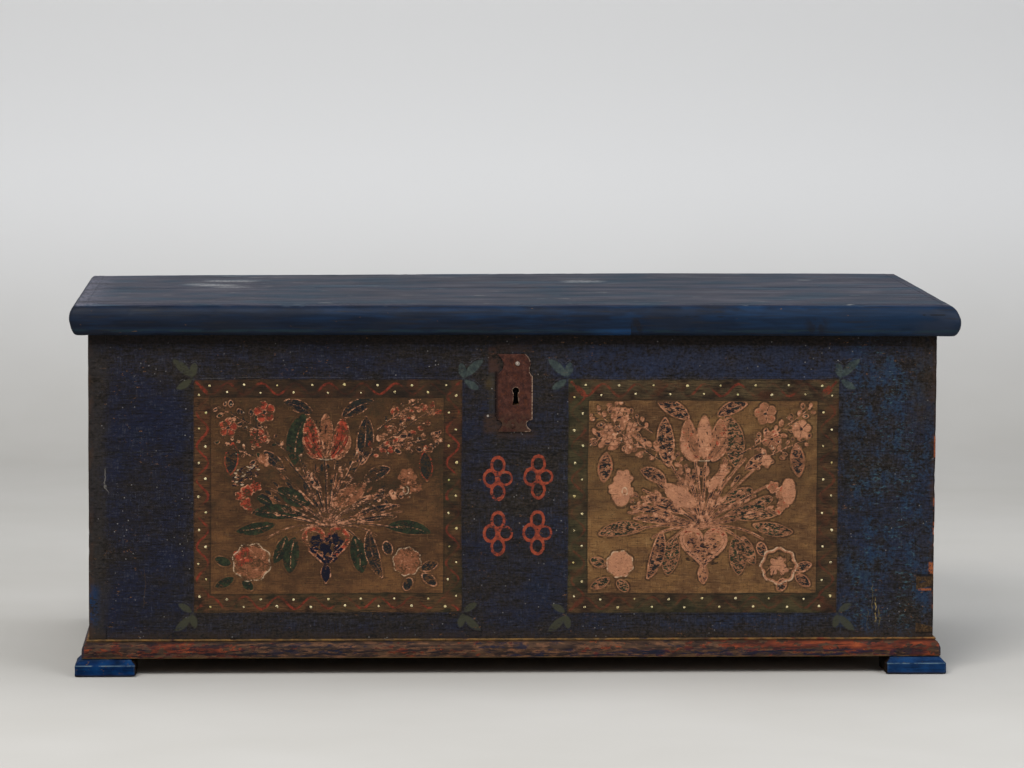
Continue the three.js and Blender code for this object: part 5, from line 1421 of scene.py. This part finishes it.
def lip_piece(name, node, run, width_at):
    """run: 'front', 'left' or 'right'. The pieces meet in mitres at the front corners."""
    length = 2 * LID_X if run == "front" else LID_REAR - LID_FRONT
    steps = int(length / 3.2)
    base = lip_ring(13)
    m = len(base)
    rings = np.zeros((steps + 1, m, 3))
    out = np.zeros((steps + 1, m, 3))
    for i in range(steps + 1):
        t = i / steps
        prof = lip_ring(width_at(t))
        u, z = prof[:, 0], prof[:, 1]
        r = CORNER * np.clip(u, 0, 25) / 25
        cmin = r * (1 - math.sqrt(0.5)) + 0.12
        if run == "front":
            x0, x1 = -(LID_X + u) + cmin, (LID_X + u) - cmin
            x = x0 + (x1 - x0) * t
            c = (LID_X + u) - np.abs(x)
            y = LID_FRONT - u + corner_cut(u, c)
            rings[i] = np.stack([x, y, z], 1)
            out[i, :, 1] = -1
        else:
            y0 = LID_FRONT - u + cmin
            y = y0 + (LID_REAR - y0) * t
            c = y - (LID_FRONT - u)
            sgn = -1 if run == "left" else 1
            x = sgn * (LID_X + u - corner_cut(u, c))
            rings[i] = np.stack([x, y, z], 1)
            out[i, :, 0] = sgn
    # outward directions in the section: across from the profile's neighbours
    prof = lip_ring(13)
    d = np.gradient(prof, axis=0)
    nu, nz = -(-d[:, 1]), -d[:, 0]
    ln = np.maximum(np.hypot(nu, nz), 1e-9)
    nu, nz = nu / ln, nz / ln
    flat = rings.reshape(-1, 3)
    dep = lip_relief(flat, None).reshape(steps + 1, m)
    dep[:, :1] = 0.0
    dep[:, -1:] = np.minimum(dep[:, -1:], 0.15)
    fade = np.clip((prof[:, 0] - 0.2) / 4.0, 0, 1)
    dep = dep * (0.25 + 0.75 * fade)
    rings = rings - out * (nu * dep)[:, :, None]
    rings[:, :, 2] -= nz * dep
    rings[:, :, 2] += lid_warp(rings[:, :, 0], rings[:, :, 1], rings[:, :, 2]) - lip_sag(rings[:, :, 0], rings[:, :, 2])
    ob = loft(name, rings, "lid")
    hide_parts(node)
    up = np.tile(np.clip(nz, -1, 1), steps + 1)
    attribute(ob, "up", up)
    attribute(ob, "under", np.zeros(len(up)))
    nearness = np.zeros((steps + 1, m))
    attribute(ob, "edge", nearness.ravel())
    paint_on(ob, LID)
    return ob


lip_piece("lid_lip_front", "lid_moulding_front", "front", lambda t: 13.0 + 9.0 * max(0.0, (t - 0.985) / 0.015))
lip_piece("lid_lip_left", "lid_moulding_left", "left", lambda t: 13.0 - 2.0 * t)
lip_piece("lid_lip_right", "lid_moulding_right", "right", lambda t: 22.0 - 12.0 * min(1.0, t * 1.1))


# ---------------------------------------------------------------- plinth

PLINTH_X, PLINTH_Y = 596.3, 269.3


def plinth_profile():
    low = resample([(0.2, 24.3), (9.0, 24.3), (9.7, 24.45), (10, 25.0), (10, 34)], 1.5)
    hollow = resample([(10, 34), (9.8, 36), (9.4, 38), (8.7, 40), (7.6, 42), (6.2, 43.8), (4.6, 45.2), (3.2, 46.1), (2.5, 46.6),
                       (2.5, 47.2), (3.3, 47.7), (3.6, 48.5), (3.4, 49.4), (2.7, 50.1), (1.6, 50.2), (0.2, 50.2)], 0.9)
    return np.vstack([low, hollow[1:]])


def plinth_material():
    s = Shade("chest_plinth_paint")
    large = s.noise((90, 90, 22), 3, 0.6, 51)
    flake = s.noise((13, 13, 6), 4, 0.65, 52)
    grain = s.noise((60, 60, 1.8), 3, 0.6, 53)
    under = s.ramp(s.noise((30, 30, 5), 3, 0.6, 54), (0.32, "#211716"), (0.5, "#38281f"), (0.68, "#4e3929"))
    red = s.ramp(s.noise((34, 34, 8), 3, 0.6, 55), (0.30, "#341913"), (0.46, "#522519"), (0.60, "#74351e"), (0.75, "#8f4826"))
    ends = s.most(s.mul(s.band(s.x, -0.20, -0.47), 1.0), s.mul(s.band(s.x, 0.22, 0.46), 0.95))
    high = s.band(s.z, 0.030, 0.040)
    keep = s.add(s.add(s.mul(flake, 0.55), s.mul(large, 0.35)), s.add(s.mul(ends, 0.085), s.mul(high, s.band(s.x, -0.1, 0.2), 0.025)))
    keep = s.band(keep, 0.512, 0.548)
    tan = s.band(s.add(s.mul(s.noise((24, 24, 4), 4, 0.65, 59), 0.7), s.mul(flake, 0.3)), 0.47, 0.57)
    under = s.mix(s.mul(tan, 0.85), under, s.ramp(flake, (0.4, "#523a2a"), (0.6, "#6e4b35")))
    c = s.mix(keep, under, red)
    streak = s.noise((34, 34, 3.4), 4, 0.66, 60)
    low = s.mul(s.band(streak, 0.50, 0.57), s.band(s.z, 0.041, 0.032), s.sub(1.0, s.mul(ends, 0.45)))
    c = s.mix(s.mul(low, 0.9), c, "#17151b")
    soot = s.mul(s.band(s.sub(s.add(s.mul(streak, 0.6), s.mul(flake, 0.4)), s.mul(s.band(s.x, -0.38, -0.52), 0.025)), 0.495, 0.535), s.band(s.x, -0.15, -0.25))
    c = s.mix(s.mul(soot, 0.85), c, "#16141a")
    soot = s.mul(s.band(s.add(s.mul(streak, 0.6), s.mul(flake, 0.4)), 0.485, 0.525), s.between(s.x, 0.12, 0.56, 0.05), s.band(s.z, 0.0375, 0.0325))
    c = s.mix(s.mul(soot, 0.85), c, "#171a2b")
    navy = s.mul(s.band(s.noise((26, 26, 7), 4, 0.65, 56), 0.54, 0.60), s.band(large, 0.58, 0.48), s.sub(1.0, s.mul(ends, 0.7)))
    c = s.mix(s.mul(navy, 0.85), c, "#14182a")
    far = s.most(s.band(s.x, (CX + 602) * MM, (CX + 604.5) * MM), s.band(s.x, (CX - 601) * MM, (CX - 603.5) * MM))
    c = s.mix(s.mul(far, s.band(flake, 0.36, 0.46), 0.8), c, "#1d2430")
    crack = s.band(grain, 0.40, 0.33)
    c = s.mix(s.mul(crack, 0.8), c, "#150f0c")
    c = s.mix(s.mul(s.band(grain, 0.62, 0.70), 0.35), c, "#6e4526")
    lip = s.mul(s.band(s.z, 0.0468, 0.0482), s.band(s.noise((18, 18, 4), 3, 0.6, 57), 0.34, 0.5))
    c = s.mix(s.mul(lip, 0.85), c, s.ramp(flake, (0.4, "#4a3a24"), (0.6, "#77592f")))
    dark = s.between(s.z, 0.0452, 0.0470, 0.0006)
    c = s.mix(s.mul(dark, 0.55), c, "#231b14")
    foot = s.mul(s.band(s.z, 0.0262, 0.0252), s.band(s.noise((22, 22, 3), 3, 0.6, 58), 0.36, 0.5))
    c = s.mix(s.mul(foot, 0.8), c, "#5c4629")
    raw, g, f2 = pine_colour(s, "#8a6a44", "#6d5033", "#49351f", 5)
    c = s.mix(s.attr("under"), c, raw)
    return s.done(c, 0.72, 0.12, ((keep, 0.25), (grain, 0.25), (flake, 0.15)))


PLINTH = plinth_material()


def plinth_piece(name, node, run):
    prof = plinth_profile()
    m = len(prof)
    length = 2 * PLINTH_X if run == "front" else 2 * PLINTH_Y
    steps = int(length / 2.6)
    u, z = prof[:, 0], prof[:, 1]
    rings = np.zeros((steps + 1, m, 3))
    r = np.full(m, 2.2) * np.clip(u / 10, 0, 1)
    cmin = r * (1 - math.sqrt(0.5)) + 0.1
    for i in range(steps + 1):
        t = i / steps
        if run == "front":
            x0 = -(PLINTH_X + u) + cmin
            x = x0 + (-2 * x0) * t
            c = (PLINTH_X + u) - np.abs(x)
            k = np.clip(r - c, 0, r)
            y = -(PLINTH_Y + u) + r - np.sqrt(np.maximum(r * r - k * k, 0))
            rings[i] = np.stack([x, y, z], 1)
        else:
            sgn = -1 if run == "left" else 1
            y0 = -(PLINTH_Y + u) + cmin
            y = y0 + (PLINTH_Y - y0) * t
            c = y + (PLINTH_Y + u)
            k = np.clip(r - c, 0, r)
            x = sgn * (PLINTH_X + u - (r - np.sqrt(np.maximum(r * r - k * k, 0))))
            rings[i] = np.stack([x, y, z], 1)
    out = np.zeros_like(rings)
    if run == "front":
        out[:, :, 1] = -1
    else:
        out[:, :, 0] = -1 if run == "left" else 1
    d = np.gradient(prof, axis=0)
    nu, nz = d[:, 1], -d[:, 0]
    ln = np.maximum(np.hypot(nu, nz), 1e-9)
    nu, nz = nu / ln, nz / ln
    p = rings.reshape(-1, 3)
    dep = 0.16 * (1 + noise(p, (60, 60, 12), 61)) + 0.20 * np.clip(noise(p, (9, 9, 5), 62, 2) * 2.2, 0, 1) \
        + 0.55 * np.clip(noise(p, (22, 22, 7), 63, 2) * 3 - 1.15, 0, 1)
    arris = np.exp(-((z - 48.5) / 2.0) ** 2) + np.exp(-((z - 25) / 1.4) ** 2)
    dep = dep.reshape(steps + 1, m) * np.clip(u / 3, 0, 1) * (0.8 + 0.7 * arris)
    rings = rings - out * (nu * dep)[:, :, None]
    rings[:, :, 2] -= np.minimum(nz, 1) * dep * (z > 25)
    rings[:, :, 0] += CX
    ob = loft(name, rings, "carcass")
    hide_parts(node)
    attribute(ob, "under", np.tile((z < 24.4).astype(float), steps + 1))
    paint_on(ob, PLINTH)
    return ob


plinth_piece("plinth_front_worn", "plinth_front", "front")
plinth_piece("plinth_left_worn", "plinth_left", "left")
plinth_piece("plinth_right_worn", "plinth_right", "right")


# ---------------------------------------------------------------- feet

def foot_material():
    s = Shade("chest_foot_paint")
    a = s.noise((22, 22, 14), 3, 0.6, 71)
    grain = s.noise((40, 40, 2.0), 3, 0.6, 72)
    c = s.ramp(a, (0.30, "#01142d"), (0.45, "#011c3f"), (0.58, "#02264e"), (0.72, "#062f58"))
    c = s.mix(s.mul(s.band(s.x, 0.2, 0.4), 0.55), c, s.ramp(a, (0.30, "#10284a"), (0.60, "#1a3a60")))
    c = s.mix(s.mul(s.band(grain, 0.45, 0.33), 0.6), c, "#061322")
    c = s.mix(s.mul(s.band(grain, 0.58, 0.68), 0.3), c, "#153a58")
    pale = s.ramp(a, (0.35, "#3f5464"), (0.6, "#66777c"))
    edge = s.mul(s.attr("edge"), s.band(s.noise((11, 11, 7), 3, 0.65, 73), 0.40, 0.54))
    c = s.mix(s.mul(edge, 0.40), c, pale)
    # a pale line along the arris between the front face and the top chamfer of the front feet: painted highlight
    line = s.mul(s.between(s.z, 0.0152, 0.0164, 0.0005), s.band(s.noise((24, 24, 24), 3, 0.65, 75), 0.38, 0.50), s.band(s.y, -0.20, -0.27))
    c = s.mix(s.mul(line, 0.85), c, pale)
    chips = s.mul(s.band(s.noise((8, 8, 5), 3, 0.65, 74), 0.64, 0.69), 1.0)
    c = s.mix(chips, c, "#4d3b2a")
    low = s.band(s.z, 0.005, 0.001)
    c = s.mix(s.mul(low, 0.7), c, "#2a2018")
    # faces underneath the feet, on their inner sides and turned in under the chest are near-black: painted shade
    c = s.mix(s.attr("shade_side"), c, "#1b120c")
    return s.done(c, 0.70, 0.06, ((a, 0.3), (grain, 0.25), (chips, 0.2)))


FOOT = foot_material()
for node in ("foot_front_left", "foot_front_right", "foot_rear_left", "foot_rear_right"):
    ob, p, n = worn(node, "carcass", (4.5, 6, 3.2), 3.0, foot_relief, 1.2, 3, 9.0)
    lo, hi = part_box(node)
    cx = (lo.x + hi.x) / 2 / MM
    side = 1 if cx > 0 else -1
    # faces under the chest, which the foot paint colours near-black as painted shade
    shade_side_mask = (n[:, 0] * side < -0.6) | (n[:, 2] < -0.6) | ((n[:, 1] * (1 if "front" in node else -1)) > 0.6)
    attribute(ob, "shade_side", shade_side_mask.astype(float))
    paint_on(ob, FOOT)


# ---------------------------------------------------------------- floor boards, till and ironwork

RAW = pine("pine_raw", "#95754f", "#7a5d3f", "#51392a", 2)
AGED = pine("pine_aged", "#93693f", "#775232", "#4c3320", 6)
AGED_Y = pine("pine_aged_across", "#93693f", "#775232", "#4c3320", 7, "y")
for node in ("bottom_board_front", "bottom_board_middle", "bottom_board_rear"):
    paint_on(soften(node, 0.8), RAW)
for node in ("till_front", "till_bottom"):
    paint_on(soften(node, 0.9), AGED_Y)
paint_on(soften("till_lid", 1.2, 3), AGED_Y)


def iron(name, base, light, rust, seed, amount):
    s = Shade(name)
    a = s.noise(9, 4, 0.65, seed)
    b = s.noise(2.6, 3, 0.6, seed + 1)
    pit = s.noise((5, 5, 5), 4, 0.7, seed + 2)
    c = s.ramp(a, (0.30, base), (0.52, base), (0.70, light))
    c = s.mix(s.mul(s.band(pit, 0.60 - amount, 0.72 - amount), 0.85), c, rust)
    c = s.mix(s.mul(s.band(b, 0.40, 0.30), 0.6), c, "#150e0b")
    c = s.mix(s.mul(s.attr("edge"), s.band(a, 0.42, 0.52), 0.6), c, light)
    return s.done(c, s.ramp(a, (0.3, "#8c8c8c"), (0.7, "#b4b4b4")), 0.4, ((a, 0.35), (b, 0.2)), 0.25)


def plate_material():
    s = Shade("iron_keyhole_plate")
    a = s.noise(9, 4, 0.65, 95)
    b = s.noise(2.6, 3, 0.6, 96)
    pit = s.noise((5, 5, 7), 4, 0.7, 97)
    c = s.ramp(a, (0.30, "#2c1712"), (0.48, "#3b1f18"), (0.60, "#4a2920"), (0.72, "#5a3729"))
    c = s.mix(s.mul(s.band(pit, 0.52, 0.62), 0.7), c, "#4f2a1a")
    c = s.mix(s.mul(s.band(pit, 0.44, 0.36), 0.6), c, "#241512")
    c = s.mix(s.mul(s.band(b, 0.42, 0.32), 0.6), c, "#180e0b")
    c = s.mix(s.mul(s.band(s.z, 0.374, 0.356), s.band(a, 0.44, 0.54), 0.7), c, "#3a2a1e")
    # the plate's left edge darker: painted shade
    c = s.mix(s.mul(s.band(s.x, -0.0245, -0.0275), 0.8), c, "#1a0f0c")
    # lighter along the right-hand and top edges and round the keyhole: rubbed iron, and on the right-hand edge a
    # painted highlight as well
    rubbed_edge_and_highlight = s.most(s.mul(s.band(s.x, 0.0205, 0.0218), s.between(s.z, 0.360, 0.445, 0.004)), s.mul(s.band(s.z, 0.4545, 0.4560), s.band(s.x, -0.014, -0.008)),
                       s.mul(s.attr("edge"), s.most(s.band(s.x, 0.010, 0.014), s.mul(s.spot(-8, 8, 386, 416, 1), 0.8))))
    c = s.mix(s.mul(rubbed_edge_and_highlight, s.band(s.add(s.mul(b, 0.4), s.mul(a, 0.6)), 0.40, 0.50), 0.85), c, s.ramp(b, (0.35, "#6d5344"), (0.65, "#9c8470")))
    return s.done(c, s.ramp(a, (0.3, "#959595"), (0.7, "#bcbcbc")), 0.22, ((a, 0.35), (pit, 0.25), (b, 0.2)), 0.12)


def nail_material():
    s = Shade("iron_nail_bright")
    a = s.noise(2.4, 3, 0.6, 98)
    c = s.ramp(a, (0.34, "#5b4d44"), (0.5, "#94877b"), (0.66, "#b3a79a"))
    return s.done(c, 0.42, 0.5, ((a, 0.3),), 0.45)


PLATE = plate_material()
NAIL = nail_material()
RUSTY = iron("iron_rusty", "#33201b", "#4f352d", "#4d2a1c", 81, 0.06)
DARK = iron("iron_dark", "#211b19", "#4a3f3a", "#472a1c", 91, 0.0)

ob, p, n = worn("escutcheon", "carcass", (2.0, 2.0, 2.0), 0.5, iron_relief, 0.4, 2, 4.0)
paint_on(ob, PLATE)

for node, slot_name in [(n, "rusty_iron") for n in NODES if n.startswith(("hinge_", "strap_nail", "leaf_nail", "escutcheon_nail"))] \
        + [(n, "dark_iron") for n in NODES if n.startswith(("lock_", "ward_ring", "lid_hasp", "hasp_nail"))]:
    soften(node, 0.35 if "nail" in node else 0.5)
    paint_on(NODES[node], NAIL if node == "escutcheon_nail_top" else PLATE if node == "escutcheon_nail_bottom" else RUSTY if slot_name == "rusty_iron" else DARK)


# ---------------------------------------------------------------- stage, light and camera

def stage_material(name, colour):
    s = Shade(name)
    n = s.noise(400, 3, 0.5, 99)
    m = s.done(s.mix(s.band(s.z, 0.0, 0.6), s.mix(n, colour, "#bab8b4"), "#dcdcdc"), 0.85, 0.1)
    # the backdrop can be looked through from behind
    nt = m.node_tree
    out = next(k for k in nt.nodes if k.type == "OUTPUT_MATERIAL")
    source = out.inputs["Surface"].links[0].from_socket
    geometry, clear, choose = (nt.nodes.new(k) for k in ("ShaderNodeNewGeometry", "ShaderNodeBsdfTransparent", "ShaderNodeMixShader"))
    nt.links.new(geometry.outputs["Backfacing"], choose.inputs[0])
    nt.links.new(source, choose.inputs[1])
    nt.links.new(clear.outputs[0], choose.inputs[2])
    nt.links.new(choose.outputs[0], out.inputs["Surface"])
    return m


def plane(name, verts, faces, material):
    me = bpy.data.meshes.new(name)
    me.from_pydata(verts, [], faces)
    ob = bpy.data.objects.new(name, me)
    scene.collection.objects.link(ob)
    me.materials.append(material)
    ob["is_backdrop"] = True
    return ob


PALE = stage_material("stage_pale", "#aaa7a1")
sweep = [(-3.5, 0.0)] + [(2.3 + 0.9 * math.sin(a), 0.9 - 0.9 * math.cos(a)) for a in np.linspace(0, math.pi / 2, 13)] + [(3.2, 4.0)]
verts = [(x, y, z) for y, z in sweep for x in (-7.0, 7.0)]
faces = [(2 * i, 2 * i + 1, 2 * i + 3, 2 * i + 2) for i in range(len(sweep) - 1)]
backdrop = plane("stage_floor", verts, faces, PALE)
backdrop.data.shade_smooth()

world = bpy.data.worlds.new("studio")
scene.world = world
world.use_nodes = True
wt = world.node_tree
wc = wt.nodes.new("ShaderNodeTexCoord")
ws = wt.nodes.new("ShaderNodeSeparateXYZ")
wt.links.new(wc.outputs["Generated"], ws.inputs[0])
wr = wt.nodes.new("ShaderNodeValToRGB")
wt.links.new(ws.outputs[2], wr.inputs[0])
wr.color_ramp.elements[0].position, wr.color_ramp.elements[0].color = 0.02, (0.16, 0.165, 0.175, 1)
wr.color_ramp.elements[1].position, wr.color_ramp.elements[1].color = 0.55, (0.92, 0.95, 1.0, 1)
wt.links.new(wr.outputs[0], wt.nodes["Background"].inputs[0])
wt.nodes["Background"].inputs[1].default_value = 0.62


def area(name, at, to, size, size_y, power, colour=(1, 1, 1)):
    d = bpy.data.lights.new(name, "AREA")
    d.shape = "RECTANGLE"
    d.size, d.size_y, d.energy, d.color = size, size_y, power, colour
    o = bpy.data.objects.new(name, d)
    scene.collection.objects.link(o)
    o.location = at
    o.rotation_euler = (Vector(to) - Vector(at)).to_track_quat("-Z", "Y").to_euler()
    o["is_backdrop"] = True
    return o


area("key", (-1.5, -3.0, 3.9), (0, 0, 0.25), 2.4, 1.6, 165, (1.0, 0.975, 0.94))
area("fill", (2.6, -3.0, 2.7), (0, 0, 0.25), 2.2, 1.4, 60, (0.93, 0.96, 1.0))
area("top", (0.2, 0.4, 3.4), (0, 0.1, 0.4), 2.6, 1.6, 45, (0.95, 0.97, 1.0))

F = 4106.6
YAW, PITCH, ROLL = math.radians(3.200), math.radians(5.372), math.radians(0.313)
fwd = Vector((math.sin(YAW) * math.cos(PITCH), math.cos(YAW) * math.cos(PITCH), -math.sin(PITCH)))
rgt = Vector((math.cos(YAW), -math.sin(YAW), 0))
upv = rgt.cross(fwd)
c_, s_ = math.cos(ROLL), math.sin(ROLL)
right, upward = rgt * c_ + upv * s_, upv * c_ - rgt * s_
cam_data = bpy.data.cameras.new("camera")
cam_data.sensor_width = 36.0
cam_data.sensor_fit = "HORIZONTAL"
cam_data.lens = F * 36 / 1024
cam_data.clip_end = 60
cam = bpy.data.objects.new("camera", cam_data)
scene.collection.objects.link(cam)
m = Matrix((right, upward, -fwd)).transposed().to_4x4()
m.translation = Vector((-0.3263, -5.9917, 0.9491))
cam.matrix_world = m
scene.camera = cam
scene.view_settings.view_transform = "Standard"
scene.view_settings.look = "None"
scene.view_settings.exposure = 0.0

lo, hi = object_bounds()
